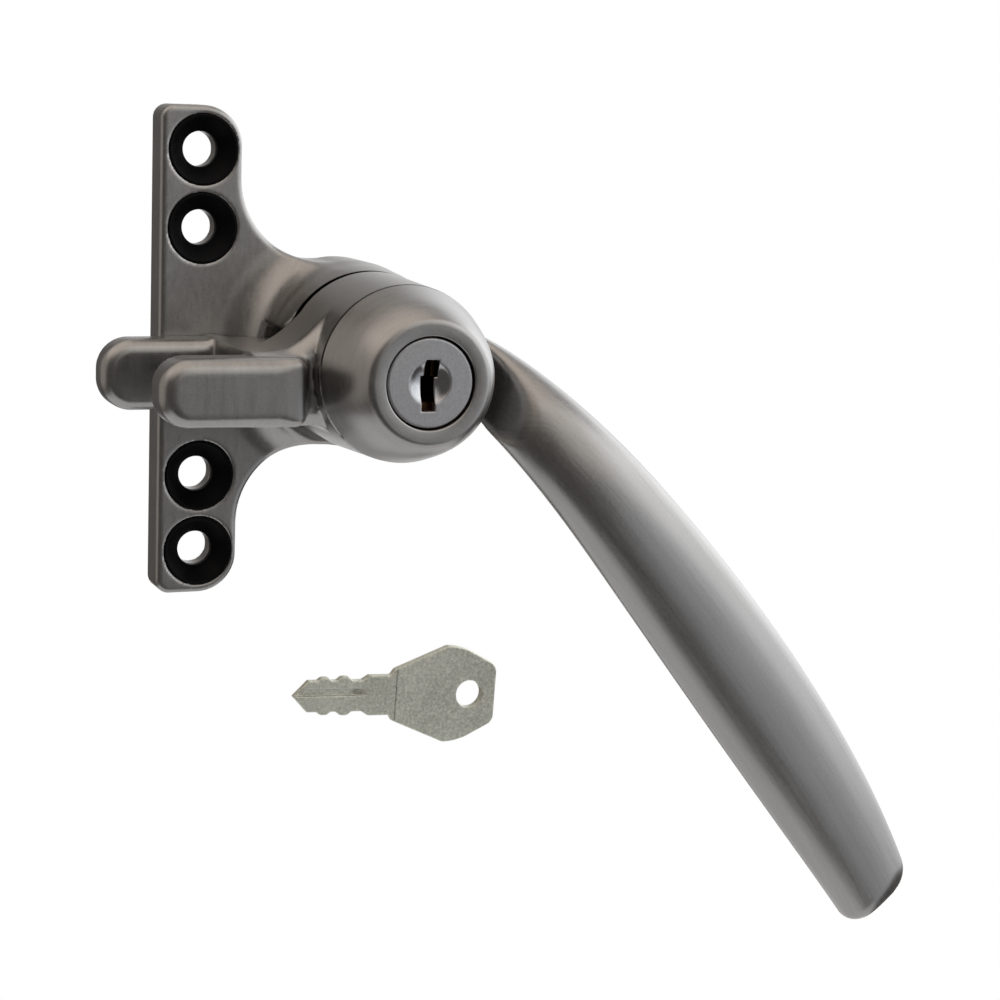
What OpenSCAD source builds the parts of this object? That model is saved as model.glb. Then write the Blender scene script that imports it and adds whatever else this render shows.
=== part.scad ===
// Locking window handle with a double nose, a curved arm, a push lock and its key.
// The handle sits on a face plate. Every piece is drawn in a front view: x to the right, y up and
// z towards the room, with the pivot axis at x = 0, y = 0. The plate reaches plate_back behind
// level zero, to the wall. The module on_wall() then stands the drawing upright.

/* [Face plate] */
// Height of the plate
plate_height = 89.4; // [80:0.1:110]
// How far the plate lies behind level zero, at the wall
plate_back = 2.2; // [1:0.1:3]
// How far the plate stands in front of level zero
plate_thick = 5; // [4.5:0.1:5.4]
// Width of the upright strip that takes the screws
strip_width = 15.1; // [14.8:0.1:18]
// Distance from the pivot axis to the strip's near edge
strip_offset = 20; // [19:0.1:24]
// Radius of the strip's corners on the pivot side
strip_round = 7.2; // [4:0.1:7.4]
// Radius of the strip's corners on the frame side
strip_round_far = 2.5; // [1:0.1:5]
// Radius of the sweep from the strip into the boss
sweep_radius = 15; // [10:0.5:16]

/* [Screw holes] */
// Distance from each end of the plate to the screw hole beside it
hole_end = 7.9; // [7:0.1:9]
// Distance from each outer hole to the inner one beside it
hole_pitch = 14.1; // [13.2:0.1:15]
// Radius of the screw bore
bore_radius = 3.2; // [2.5:0.05:3.4]
// Outside radius of a screw cup
cup_radius = 6.35; // [5.5:0.05:6.45]
// Inside radius of a cup's mouth
cup_mouth = 5.9; // [4.8:0.05:6]
// Depth of the straight bore under a cup's cone
cup_bore_length = 1.2; // [0.6:0.1:1.8]
// How far a cup's back lies in front of level zero
cup_floor = 1.2; // [0.8:0.1:1.8]
// How far the holes lie off the strip's middle, towards the boss
hole_shift = 0.25; // [0:0.05:0.4]

/* [Collar] */
// Radius of the boss at the plate
boss_radius = 17.3; // [17:0.1:19]
// Radius of the collar where it leaves the foot fillet
collar_side = 17; // [16.6:0.1:17.2]
// Radius of the collar's front rim
collar_rim = 16.3; // [15.6:0.1:16.6]
// Distance from level zero to the collar's front rim
collar_front = 19.2; // [18:0.1:21]
// Radius of the collar's bore
collar_bore = 13; // [12:0.1:13.6]
// Radius of the fillet at the collar's foot
foot_round = 8; // [5:0.1:8.4]
// Distance from level zero to the sill under the opening
sill_front = 9.2; // [8:0.1:10]
// Angle at which the opening in the collar starts
opening_start = 160; // [150:1:163]
// Angle at which the opening in the collar ends
opening_end = 330; // [328:1:340]

/* [Hub] */
// Radius of the turning ring's front edge; its back edge is as wide as the collar's rim
ring_radius = 15.65; // [15:0.05:16]
// Length of the turning ring
ring_length = 19; // [17:0.1:21]
// Chamfer on the ring's front edge
ring_chamfer = 0.6; // [0.3:0.1:1]
// Open seam between the ring and the collar
seam_gap = 0.7; // [0.3:0.05:0.8]
// Radius of the skirt that turns in the collar's opening
skirt_radius = 16.1; // [15.2:0.1:17]
// Angle at which the skirt starts
skirt_start = 171; // [170:1:180]
// Angle at which the skirt ends
skirt_end = 262; // [230:1:264]
// Radius of the steel pivot
pivot_radius = 3.5; // [3:0.1:3.6]
// Wall of the plain bearing bush
bush_wall = 0.65; // [0.5:0.05:0.8]

/* [Nose] */
// Distance from the pivot axis to the tip of the rear finger
rear_reach = 47; // [44:0.1:52]
// Distance from the pivot axis to the tip of the front finger
front_reach = 43.2; // [40:0.1:46]
// Distance from the pivot axis to the closed end of the slot
slot_end = 26.5; // [25.5:0.1:29]
// Height of the rear finger and the neck
rear_height = 12.9; // [11.5:0.1:13.4]
// Height of the front finger
front_height = 12; // [10.5:0.1:12.8]
// Height of the flat panel on a finger's front
panel_height = 7.3; // [6:0.1:8.5]
// How far the nose lies below the pivot axis
nose_drop = 3.2; // [2.6:0.1:3.6]
// Thickness of the rear finger
rear_finger_thick = 6.1; // [5:0.1:7]
// Thickness of the front finger
front_finger_thick = 7.7; // [6:0.1:9]
// Distance from the pivot axis to the front finger's near end
front_finger_end = 17.3; // [16.8:0.1:19]
// Step from the ring's front down to the neck
neck_step = 3.2; // [2:0.1:5]
// Radius of the sweep from the neck's top into the ring
neck_sweep = 8; // [4:0.5:10]

/* [Arm] */
// Half thickness of the arm at the hub
arm_root_half = 5.5; // [4.5:0.1:6]
// Half thickness of the arm at its tip
arm_tip_half = 4.5; // [3.5:0.1:5.5]
// Width of the arm at the hub
arm_root_width = 12; // [10:0.5:14]
// Width of the arm at its tip, before its end is rounded
arm_tip_width = 14.9; // [13:0.1:18]
// Extra width of the arm past its middle
arm_bulge = 7.4; // [6:0.1:10]
// How far to the right the arm's tip lies
arm_right = 100.2; // [85:0.5:110]
// How far below the pivot axis the arm's tip lies
arm_drop = 104.7; // [90:0.5:115]
// Distance from level zero to the arm's centre at its highest
arm_stand = 45; // [43:0.5:50]
// Distance from level zero to the arm's centre at its tip
arm_tip_stand = 43; // [40:0.5:48]
// Rounding of the arm's end
arm_tip_round = 3.2; // [1.5:0.1:4]

/* [Dome] */
// Length of the dome in front of the seam
dome_length = 12.8; // [12:0.1:15]
// Seam between the ring and the dome
dome_gap = 0.3; // [0.2:0.05:0.5]
// How much the dome's straight flank draws in along its length
dome_taper = 3.3; // [2.8:0.1:3.6]
// How much more the dome's shoulder draws in
dome_shoulder = 1.6; // [1.2:0.1:1.8]
// Wall of the dome's neck inside the ring
dome_neck_wall = 1.75; // [1.5:0.05:2]
// Thickness of the floor behind the lock
dome_floor = 2.4; // [2:0.1:3]

/* [Lock] */
// Radius of the push barrel
barrel_radius = 7.75; // [7.4:0.05:8]
// Gap around the barrel
barrel_gap = 0.3; // [0.15:0.05:0.4]
// How far the lock face lies behind the dome's lip
face_recess = 0.5; // [0.2:0.1:1]
// Travel of the push barrel
push_travel = 4.5; // [3:0.1:5]
// Thickness of the plug's head
plug_head = 1.5; // [1.2:0.1:2]
// Radius of the lock pin
lock_pin_radius = 1; // [0.8:0.05:1]
// Thickness of a wafer
wafer_thick = 0.9; // [0.7:0.05:1]
// Distance from one wafer to the next
wafer_pitch = 3; // [2.6:0.1:3]

/* [Key] */
// Thickness of the key
key_thick = 1.9; // [1.6:0.05:2]
// Height of the key's blade
blade_height = 8; // [7.4:0.1:8.1]
// Length of the key's blade and shank
blade_length = 20.4; // [18:0.1:22]
// Height of the key's bow
bow_height = 19.4; // [16:0.1:21]
// Length of the key's bow
bow_length = 21.4; // [19:0.1:24]
// Radius of the hole in the key's bow
key_hole = 2.7; // [2:0.1:3.2]

/* [Hidden] */
$fn = 96;
facets = 32;
eps = 0.01;

nickel = [0.45, 0.44, 0.43];
satin = [0.55, 0.55, 0.56];
steel = [0.62, 0.63, 0.65];
bronze = [0.66, 0.48, 0.26];
brass = [0.76, 0.63, 0.34];
black = [0.03, 0.03, 0.03];
acetal = [0.88, 0.88, 0.84];
key_metal = [0.58, 0.58, 0.53];

// How far a cut runs past what it cuts
over = 1;

// Screw holes, from the top one down
hole_x = -strip_offset - strip_width / 2 + hole_shift;
outer_hole = plate_height / 2 - hole_end;
hole_heights = [outer_hole, outer_hole - hole_pitch, hole_pitch - outer_hole, -outer_hole];

// Distances from level zero along the pivot axis
flange_thick = 1.2;
barrel_length = 20;
washer_thick = 0.6;
wave_thick = 0.3;
wave_rise = 0.4;
run_gap = 0.1;
washer_front = plate_thick + washer_thick;
hub_back = washer_front + wave_thick + wave_rise + run_gap;
ring_back = collar_front + seam_gap;
ring_front = ring_back + ring_length;
dome_back = ring_front + dome_gap;
dome_front = dome_back + dome_length;
face_front = dome_front - face_recess;
head_back = face_front - plug_head;
barrel_back = head_back - barrel_length;
barrel_wall = 1.8;
plug_back = barrel_back + barrel_wall + run_gap;
spring_room = 8.5;
dome_floor_front = barrel_back - spring_room;
dome_floor_back = dome_floor_front - dome_floor;
web_gap = 0.3;
hub_web_front = dome_floor_back - web_gap;
seat_depth = 0.55;
washer_seat = ring_front - seat_depth;
rim_round = 0.3;

// Radii around the pivot axis
turn_gap = 0.2;
fit_gap = 0.1;
drum_radius = collar_bore - turn_gap;
dome_bore = barrel_radius + barrel_gap;
dome_neck = dome_bore + dome_neck_wall;
hub_bore = dome_neck + turn_gap;
washer_width = 2.4;
front_recess = hub_bore + fit_gap + washer_width + turn_gap;
bush_gap = 0.05;
bush_bore = pivot_radius + bush_gap;
bush_radius = bush_bore + bush_wall;
flange_width = 1.5;
flange_radius = pivot_radius + flange_width;
tail_side = 6;
tail_length = 2.1;
square_side = 4.9;
rivet_head = 3.3;
rivet_thick = 0.7;
screw_radius = 2;
screw_head = 4;
screw_sunk = 0.3;
screw_level = screw_sunk - plate_back;
screw_length = 9;
screw_hole_depth = 10;
socket_radius = 1.4;
socket_depth = 1.6;
washer_gap = 0.3;
waves = 3;
wave_steps = 48;

// Dome: how much of its length the flank takes before its edge rounds over to the flat lip
flank_share = 0.95;
dome_steps = 12;
lip_chamfer = 0.3;
arc_step = 10;
collar_steps = 6;

// Nose and arm
nose_top = rear_height / 2 - nose_drop;
nose_bottom = -rear_height / 2 - nose_drop;
finger_gap = 0.6;
front_finger_set = 0.2;
sill_gap = 0.4;
foot_clear = 0.8;
full_share = 0.45;
tip_share = 0.42;
near_corner = 2.2;
panel_edge = 0.4;
panel_share = 0.3;
panel_corner = 1.8;
rear_finger_back = plate_thick + finger_gap;
rear_finger_front = rear_finger_back + rear_finger_thick;
front_finger_front = ring_front - front_finger_set;
front_finger_back = front_finger_front - front_finger_thick;
neck_front = ring_front - neck_step;
neck_back = sill_front + sill_gap;
skirt_step = 0.25;
skirt_back = neck_back + skirt_step;
arm_start = [13.9, 0.6];
arm_leave = [7.5, -2.85];
arm_arrive = [-22.2, 38.5];
arm_end = [arm_right, -arm_drop];
arm_path = [arm_start, arm_start + arm_leave, arm_end + arm_arrive, arm_end];
arm_start_drop = 7.9;
arm_start_stand = ring_front - arm_start_drop;
arm_clear = 0.35;
arm_cut_step = 0.4;
arm_cut_back = ring_front - arm_cut_step;
arm_rise_end = 0.2;
arm_rings = 36;
arm_sides = 24;
arm_square = 0.75;
arm_tip_flat = 0.8;
arm_tip_turns = [20, 40, 58, 74, 86];

// Lock pieces inside the dome
pin_wall = 0.2;
pin_place = barrel_radius - lock_pin_radius - pin_wall;
pin_clear = 0.15;
pin_room = 0.3;
pin_seat = 5;
plug_radius = pin_place - lock_pin_radius - pin_clear;
close_gap = 0.05;
stop_pin_radius = 0.9;
stop_pin_offset = 8;
stop_pin_at = barrel_back + stop_pin_offset;
stop_pin_clear = 0.15;
stop_groove = 1.05;
keyway_width = 2.4;
keyway_clear = 0.5;
keyway_height = blade_height + keyway_clear;
keyway_ward = 0.35;
keyway_turn = 0.2;
wafer_side = 2.4;
wafer_half_width = plug_radius - wafer_side;
wafer_window = [keyway_width + fit_gap, 7.4];
wafer_inset = 0.15;
wafer_radius = plug_radius - wafer_inset;
wafer_lead = 3.6;
wafer_first = plug_back + wafer_lead;
wafer_count = 5;
lug_in = 0.5;
lug_drop = 1.85;
lug_size = [1.7, 0.6];
spring_out = 0.68;
spring_top = 1.2;
spring_radius = 0.42;
spring_wire = 0.1;
spring_turns = 5;
spring_slot = [1.4, 3.8, 1.3];
liner_half = 6.3;
liner_lead = 6;
liner_end = 1.5;
return_radius = 4.5;
return_wire = 0.35;
return_turns = 4;
clip_thick = 0.6;
clip_gap = 0.2;
clip_back = barrel_back - clip_gap - clip_thick;
plug_tail = 2.5;
tail_end = 0.6;
clip_in = 0.5;
clip_out = 1;
face_round = 0.4;
dish_radius = 3.8;
dish_floor = 2.1;
dish_depth = 1.1;

// The loose key lies against the wall below the handle
key_place = [-6.2, -67.6, -plate_back];
key_tilt = -2.5;

// Key: its point, its notches from the tip on, and its bow's corners as shares of its length and height
key_point = [3.2, 0.9];
key_notches = [[3.4, 1.25], [6.9, 0.95], [11, 0.95]];
key_shoulder = [1.6, 1.2];
bow_top = [0.62, 0.72];
bow_side = 0.6;
bow_corner = [0.8, 0.72];
bow_hole = 0.74;
key_groove = [14, 0.9, 0.6];

module on_wall() {
    translate([-hole_x, -plate_back, 0]) rotate([90, 0, 0]) children();
}

// A ring around the pivot axis, from one distance from level zero to another
module ring(outer, inner, from, to) {
    translate([0, 0, from]) difference() {
        cylinder(r = outer, h = to - from);
        translate([0, 0, -eps]) cylinder(r = inner, h = to - from + 2 * eps);
    }
}

module disc(radius, from, to) {
    translate([0, 0, from]) cylinder(r = radius, h = to - from);
}

module slab(from, to) {
    translate([0, 0, from]) linear_extrude(to - from) children();
}

// What rounding takes off the corner of a square at the origin
module corner_waste(radius) {
    difference() {
        translate([-over, -over]) square(radius + over);
        translate([radius, radius]) circle(radius);
    }
}

// A sweep curve that touches an upright line at x = -line and a circle around the axis
function sweep_centre(line, round, radius) =
    [-line + round, sqrt(pow(radius + round, 2) - pow(round - line, 2))];

module plate_outline() {
    centre = sweep_centre(strip_offset, sweep_radius, boss_radius);
    far = strip_offset + strip_width;
    difference() {
        translate([-far, -plate_height / 2]) square([strip_width, plate_height]);
        for (side = [0, 1]) mirror([0, side]) {
            translate([-far, -plate_height / 2]) corner_waste(strip_round_far);
            translate([-strip_offset, -plate_height / 2]) mirror([1, 0]) corner_waste(strip_round);
        }
    }
    circle(boss_radius);
    for (side = [0, 1]) mirror([0, side]) difference() {
        polygon([[0, 0], [-strip_offset - eps, 0], [-strip_offset - eps, centre[1]], centre]);
        translate(centre) circle(sweep_radius);
    }
}

// Foot fillet, bulging side and bore of the collar, as distances from the axis and level zero
function collar_profile() = concat(
    [[collar_bore, plate_thick - over], [collar_side + foot_round, plate_thick - over]],
    [for (a = [0 : arc_step : 90])
        [collar_side + foot_round * (1 - sin(a)), plate_thick + foot_round * (1 - cos(a))]],
    [for (k = [1 : collar_steps]) let (u = k / collar_steps)
        [collar_rim + (collar_side - collar_rim) * (1 - u * u),
            plate_thick + foot_round + u * (collar_front - plate_thick - foot_round)]],
    [[collar_rim - rim_round, collar_front], [collar_bore, collar_front]]);

module wedge(start, end, radius) {
    steps = 12;
    polygon(concat([[0, 0]], [for (k = [0 : steps]) let (a = start + (end - start) * k / steps)
        radius * [cos(a), sin(a)]]));
}

module base_plate() {
    color(nickel) on_wall() difference() {
        union() {
            slab(-plate_back, plate_thick) plate_outline();
            intersection() {
                rotate_extrude() polygon(collar_profile());
                slab(0, collar_front + over) plate_outline();
            }
        }
        disc(collar_bore, plate_thick, collar_front + over);
        slab(sill_front, collar_front + over) wedge(opening_start, opening_end, 2 * boss_radius);
        for (y = hole_heights) translate([hole_x, y, 0]) {
            disc(bore_radius, -plate_back - over, plate_thick + over);
            disc(cup_radius, cup_floor, plate_thick + over);
        }
        slab(plate_thick - tail_length, plate_thick + over) square(tail_side, center = true);
        disc(screw_radius, -plate_back - over, plate_thick);
        translate([0, 0, screw_level])
            cylinder(r1 = screw_head, r2 = screw_radius, h = screw_head - screw_radius);
        disc(screw_head, -plate_back - over, screw_level + eps);
    }
}

// Black cup that lines a countersunk hole
module screw_cup(which) {
    cone_back = cup_floor + cup_bore_length;
    color(black) on_wall() translate([hole_x, hole_heights[which], 0]) rotate_extrude()
        polygon([[bore_radius, cup_floor], [cup_radius, cup_floor], [cup_radius, plate_thick],
            [cup_mouth, plate_thick], [bore_radius, cone_back]]);
}

module pivot_spindle() {
    color(steel) on_wall() difference() {
        union() {
            slab(plate_thick - tail_length, plate_thick) square(tail_side, center = true);
            disc(flange_radius, plate_thick, plate_thick + flange_thick);
            disc(pivot_radius, plate_thick, dome_floor_back);
            slab(dome_floor_back - eps, dome_floor_front) square(square_side, center = true);
            disc(rivet_head, dome_floor_front, dome_floor_front + rivet_thick);
        }
        disc(screw_radius, plate_thick - tail_length - over, plate_thick + screw_hole_depth);
    }
}

module spindle_screw() {
    color(steel) on_wall() difference() {
        union() {
            translate([0, 0, screw_level])
                cylinder(r1 = screw_head, r2 = screw_radius, h = screw_head - screw_radius);
            disc(screw_radius, screw_level + over, plate_thick + screw_length);
        }
        translate([0, 0, screw_level - eps]) cylinder(r = socket_radius, h = socket_depth, $fn = 6);
    }
}

module rear_washer() {
    color(acetal) on_wall()
        ring(drum_radius - washer_gap, flange_radius + turn_gap, plate_thick, washer_front);
}

// Wavy spring washer: a flat ring whose height follows three waves round the axis
module wave_washer() {
    steps = wave_steps;
    inner = flange_radius + washer_gap;
    outer = drum_radius - 2 * washer_gap;
    middle = washer_front + wave_rise / 2;
    function lift(k) = middle + wave_rise / 2 * sin(waves * 360 * k / steps);
    function spot(r, k, z) = [r * cos(360 * k / steps), r * sin(360 * k / steps), z];
    points = [for (k = [0 : steps - 1]) each [spot(inner, k, lift(k)), spot(outer, k, lift(k)),
        spot(outer, k, lift(k) + wave_thick), spot(inner, k, lift(k) + wave_thick)]];
    faces = [for (k = [0 : steps - 1]) for (s = [0 : 3])
        let (a = 4 * k + s, b = 4 * k + (s + 1) % 4, n = 4 * steps)
        each [[a, (a + 4) % n, (b + 4) % n], [a, (b + 4) % n, b]]];
    color(steel) on_wall() polyhedron(points = points, faces = faces);
}

module front_washer() {
    color(acetal) on_wall()
        ring(front_recess - turn_gap, hub_bore + fit_gap, washer_seat, dome_back - run_gap);
}

// Outside of the dome: a flank that draws in steadily, a shoulder, and a round edge on the lip
function dome_radius(u) = ring_radius - dome_taper * u - dome_shoulder * pow(u, 5);
function dome_lean(u) = atan((dome_taper + 5 * dome_shoulder * pow(u, 4)) / dome_length);
function dome_profile() = let (lean = dome_lean(flank_share),
    edge = (1 - flank_share) * dome_length / (1 - sin(lean)),
    lip = dome_radius(flank_share) - edge * cos(lean))
    concat([[ring_radius - rim_round, dome_back]],
    [for (k = [1 : dome_steps]) let (u = flank_share * k / dome_steps)
        [dome_radius(u), dome_back + u * dome_length]],
    [for (k = [1 : 4]) let (a = lean + (90 - lean) * k / 4)
        [lip + edge * cos(a), dome_front - edge * (1 - sin(a))]]);

module lock_dome() {
    color(nickel) on_wall() difference() {
        rotate_extrude() polygon(concat(
            [[0, dome_floor_back], [dome_neck, dome_floor_back], [dome_neck, dome_back]],
            dome_profile(),
            [[dome_bore + lip_chamfer, dome_front], [dome_bore, dome_front - lip_chamfer],
                [dome_bore, dome_floor_front], [0, dome_floor_front]]));
        slab(dome_floor_back - over, dome_floor_front + over) square(square_side, center = true);
        translate([pin_place, 0, 0])
            disc(lock_pin_radius + pin_clear, dome_floor_back - over, dome_floor_front + over);
        translate([0, 0, stop_pin_at]) rotate([0, -90, 0])
            disc(stop_pin_radius, dome_bore - over, dome_neck + over);
    }
}

module barrel_stop_pin() {
    color(steel) on_wall() translate([0, 0, stop_pin_at]) rotate([0, -90, 0])
        disc(stop_pin_radius, barrel_radius - stop_groove + stop_pin_clear, dome_neck - fit_gap);
}

// Front view of the neck that joins the nose to the ring
module neck_outline(swept) {
    up = nose_top + neck_sweep;
    centre = [-sqrt(pow(ring_radius + neck_sweep, 2) - pow(up, 2)), up];
    difference() {
        union() {
            translate([-slot_end - over, nose_bottom]) square([slot_end + over, rear_height]);
            if (swept) difference() {
                polygon([[0, 0], [centre[0], nose_top - eps], centre]);
                translate(centre) circle(neck_sweep);
            }
        }
        circle(hub_bore + over);
    }
}

// Front view of a finger: a round tip on the left and two small corners at its near end
module finger_outline(tip, near, height, round, corner) {
    hull() for (y = [-1, 1]) {
        translate([-tip + round, -nose_drop + y * (height / 2 - round)]) circle(round, $fn = facets);
        translate([-near - corner, -nose_drop + y * (height / 2 - corner)]) circle(corner, $fn = facets);
    }
}

// A finger: full size for the back half of its thickness, then drawn in to the flat panel
module finger(tip, near, height, back, front) {
    inset = (height - panel_height) / 2;
    hull() {
        slab(back, back + (front - back) * full_share)
            finger_outline(tip, near, height, height * tip_share, near_corner);
        slab(front - panel_edge, front)
            finger_outline(tip - inset, near + panel_edge, panel_height, panel_height * panel_share,
                panel_corner);
    }
}

function curve(p, t) = pow(1 - t, 3) * p[0] + 3 * pow(1 - t, 2) * t * p[1]
    + 3 * (1 - t) * t * t * p[2] + pow(t, 3) * p[3];
function curve_way(p, t) = let (v = 3 * pow(1 - t, 2) * (p[1] - p[0]) + 6 * (1 - t) * t * (p[2] - p[1])
    + 3 * t * t * (p[3] - p[2])) v / norm(v);
function ease(u) = let (c = min(1, max(0, u))) c * c * (3 - 2 * c);
function arm_width(t) = arm_root_width + (arm_tip_width - arm_root_width) * t
    + arm_bulge * sin(180 * pow(t, 1.5));
function arm_half(t) = arm_root_half + (arm_tip_half - arm_root_half) * t;
function arm_height(t) = arm_start_stand + (arm_stand - arm_start_stand) * ease(t / arm_rise_end)
    + (arm_tip_stand - arm_stand) * t * t;
function blunt(v) = sign(v) * pow(abs(v), arm_square);

// One ring of the arm's skin: place along the curve, how far past it, and how much it shrinks
function arm_ring(t, past, shrink) =
    let (way = curve_way(arm_path, t), side = [-way[1], way[0]], c = curve(arm_path, t) + past * way,
        w = arm_width(t) / 2 - shrink, h = arm_half(t) - shrink * arm_tip_flat)
    [for (k = [0 : arm_sides - 1]) let (a = 360 * k / arm_sides, x = w * blunt(cos(a)), z = h * blunt(sin(a)))
        [c[0] + side[0] * x, c[1] + side[1] * x, arm_height(t) + z]];

module arm() {
    last = 1 - arm_tip_round / (3 * norm(arm_path[3] - arm_path[2]));
    rings = concat(
        [for (k = [0 : arm_rings]) arm_ring(last * k / arm_rings, 0, 0)],
        [for (a = arm_tip_turns) arm_ring(last, arm_tip_round * sin(a), arm_tip_round * (1 - cos(a)))]);
    count = len(rings);
    points = [for (r = rings) each r];
    skin = [for (k = [0 : count - 2]) for (s = [0 : arm_sides - 1])
        let (a = arm_sides * k + s, b = arm_sides * k + (s + 1) % arm_sides)
        each [[a, b + arm_sides, b], [a, a + arm_sides, b + arm_sides]]];
    ends = [[for (s = [0 : arm_sides - 1]) s],
        [for (s = [arm_sides - 1 : -1 : 0]) arm_sides * (count - 1) + s]];
    polyhedron(points = points, faces = concat(skin, ends));
}

// One casting: the turning hub, its skirt, the double nose and the arm
module lever_casting() {
    foot_edge = collar_side + foot_round + over;
    drum_edge = drum_radius - over;
    color(nickel) on_wall() difference() {
        union() {
            rotate_extrude() polygon([[bush_radius, hub_back], [drum_radius, hub_back],
                [drum_radius, ring_back], [collar_rim - rim_round, ring_back],
                [collar_rim, ring_back + rim_round],
                [ring_radius, ring_front - ring_chamfer], [ring_radius - ring_chamfer, ring_front],
                [front_recess, ring_front], [front_recess, washer_seat], [hub_bore, washer_seat],
                [hub_bore, hub_web_front], [bush_radius, hub_web_front]]);
            rotate([0, 0, skirt_start]) rotate_extrude(angle = skirt_end - skirt_start)
                translate([drum_edge, skirt_back])
                    square([skirt_radius - drum_edge, collar_front - skirt_back]);
            difference() {
                union() {
                    slab(ring_back, neck_front) neck_outline(true);
                    slab(rear_finger_back, ring_back + eps) neck_outline(false);
                    finger(rear_reach, slot_end - over, rear_height, rear_finger_back, rear_finger_front);
                    finger(front_reach, front_finger_end, front_height, front_finger_back,
                        front_finger_front);
                }
                rotate_extrude() polygon([[0, 0], [foot_edge, 0], [foot_edge, rear_finger_back - fit_gap],
                    [collar_side + foot_clear, neck_back], [0, neck_back]]);
            }
            difference() {
                arm();
                disc(ring_radius + arm_clear, arm_cut_back, dome_front);
            }
        }
        translate([pin_place, 0, 0])
            disc(lock_pin_radius + pin_room, hub_web_front - push_travel, hub_web_front + over);
    }
}

module hub_bush() {
    color(bronze) on_wall() ring(bush_radius, bush_bore, hub_back, hub_web_front);
}

module lock_barrel() {
    groove_from = stop_pin_at - stop_pin_radius - fit_gap;
    groove_to = stop_pin_at + push_travel + stop_pin_radius + fit_gap;
    color(brass) on_wall() difference() {
        disc(barrel_radius, barrel_back, head_back - close_gap);
        disc(plug_radius + close_gap, barrel_back + barrel_wall, head_back + over);
        disc(plug_tail + fit_gap, barrel_back - over, head_back);
        translate([pin_place, 0, 0]) disc(lock_pin_radius, barrel_back - over, barrel_back + pin_seat);
        slab(barrel_back + liner_lead, head_back - liner_end)
            square([2 * (wafer_half_width + turn_gap), 2 * liner_half], center = true);
        translate([-barrel_radius - over, -stop_pin_radius - fit_gap, groove_from])
            cube([over + stop_groove, 2 * (stop_pin_radius + fit_gap), groove_to - groove_from]);
    }
}

// Locking pin pressed into the barrel, flush with the back of the dome's floor when pushed home
module lock_pin() {
    color(steel) on_wall() translate([pin_place, 0, 0])
        disc(lock_pin_radius, dome_floor_back + push_travel, barrel_back + pin_seat);
}

// A round wire wound round the axis: coil radius, wire radius, from and to, turns, steps a turn, sides
module coil(radius, wire, from, to, turns, steps, sides) {
    count = turns * steps;
    points = [for (k = [0 : count]) for (s = [0 : sides - 1])
        let (a = 360 * k / steps, b = 360 * s / sides, r = radius + wire * cos(b))
        [r * cos(a), r * sin(a), from + wire + (to - from - 2 * wire) * k / count + wire * sin(b)]];
    skin = [for (k = [0 : count - 1]) for (s = [0 : sides - 1])
        let (a = sides * k + s, b = sides * k + (s + 1) % sides)
        each [[a, b + sides, b], [a, a + sides, b + sides]]];
    ends = [[for (s = [0 : sides - 1]) s], [for (s = [sides - 1 : -1 : 0]) sides * count + s]];
    polyhedron(points = points, faces = concat(skin, ends));
}

module return_spring() {
    color(steel) on_wall()
        coil(return_radius, return_wire, dome_floor_front + close_gap, barrel_back - close_gap,
            return_turns, 16, 6);
}

// Keyway: two halves set sideways of each other, as the wards make it
module keyway_outline(height) {
    right = keyway_width / 2;
    left = -right;
    end = height / 2;
    turn = height * keyway_turn;
    polygon([[right + keyway_ward, end], [right + keyway_ward, turn + keyway_ward], [right, turn],
        [right, -end], [left - keyway_ward, -end], [left - keyway_ward, turn],
        [left + keyway_ward, turn + keyway_ward], [left + keyway_ward, end]]);
}

module key_plug() {
    color(satin) on_wall() difference() {
        union() {
            rotate_extrude() polygon([[0, plug_back], [plug_radius, plug_back], [plug_radius, head_back],
                [barrel_radius, head_back], [barrel_radius, face_front - face_round],
                [barrel_radius - face_round, face_front], [0, face_front]]);
            disc(plug_tail, clip_back - tail_end, plug_back + eps);
        }
        slab(plug_back + over, face_front + over) keyway_outline(keyway_height);
        translate([0, 0, face_front - dish_depth])
            cylinder(r1 = dish_floor, r2 = dish_radius, h = dish_depth + eps);
        for (k = [0 : wafer_count - 1]) translate([0, 0, wafer_first + k * wafer_pitch]) {
            slab(-wafer_thick / 2 - close_gap, wafer_thick / 2 + close_gap)
                square([2 * (wafer_half_width + close_gap), 2 * plug_radius + over], center = true);
            translate([wafer_half_width - eps, -spring_slot[1] / 2, -spring_slot[2] / 2]) cube(spring_slot);
        }
        ring(plug_tail + clip_out, plug_tail - clip_in, clip_back, clip_back + clip_thick);
    }
}

// One wafer, lifted level with the plug as the key holds it, with the lug that its spring pushes
module wafer(which) {
    color(brass) on_wall() translate([0, 0, wafer_first + (which - 1) * wafer_pitch])
        slab(-wafer_thick / 2, wafer_thick / 2) difference() {
            union() {
                intersection() {
                    circle(wafer_radius);
                    square([2 * wafer_half_width, 2 * plug_radius], center = true);
                }
                translate([wafer_half_width - lug_in, -lug_drop]) square(lug_size);
            }
            square(wafer_window, center = true);
        }
}

module wafer_springs() {
    color(steel) on_wall() for (k = [0 : wafer_count - 1])
        translate([wafer_half_width + spring_out, 0, wafer_first + k * wafer_pitch]) rotate([90, 0, 0])
            coil(spring_radius, spring_wire, -lug_drop, spring_top, spring_turns, 10, 4);
}

module plug_clip() {
    color(steel) on_wall() ring(plug_tail + clip_out, plug_tail - clip_in, clip_back, clip_back + clip_thick);
}

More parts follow.
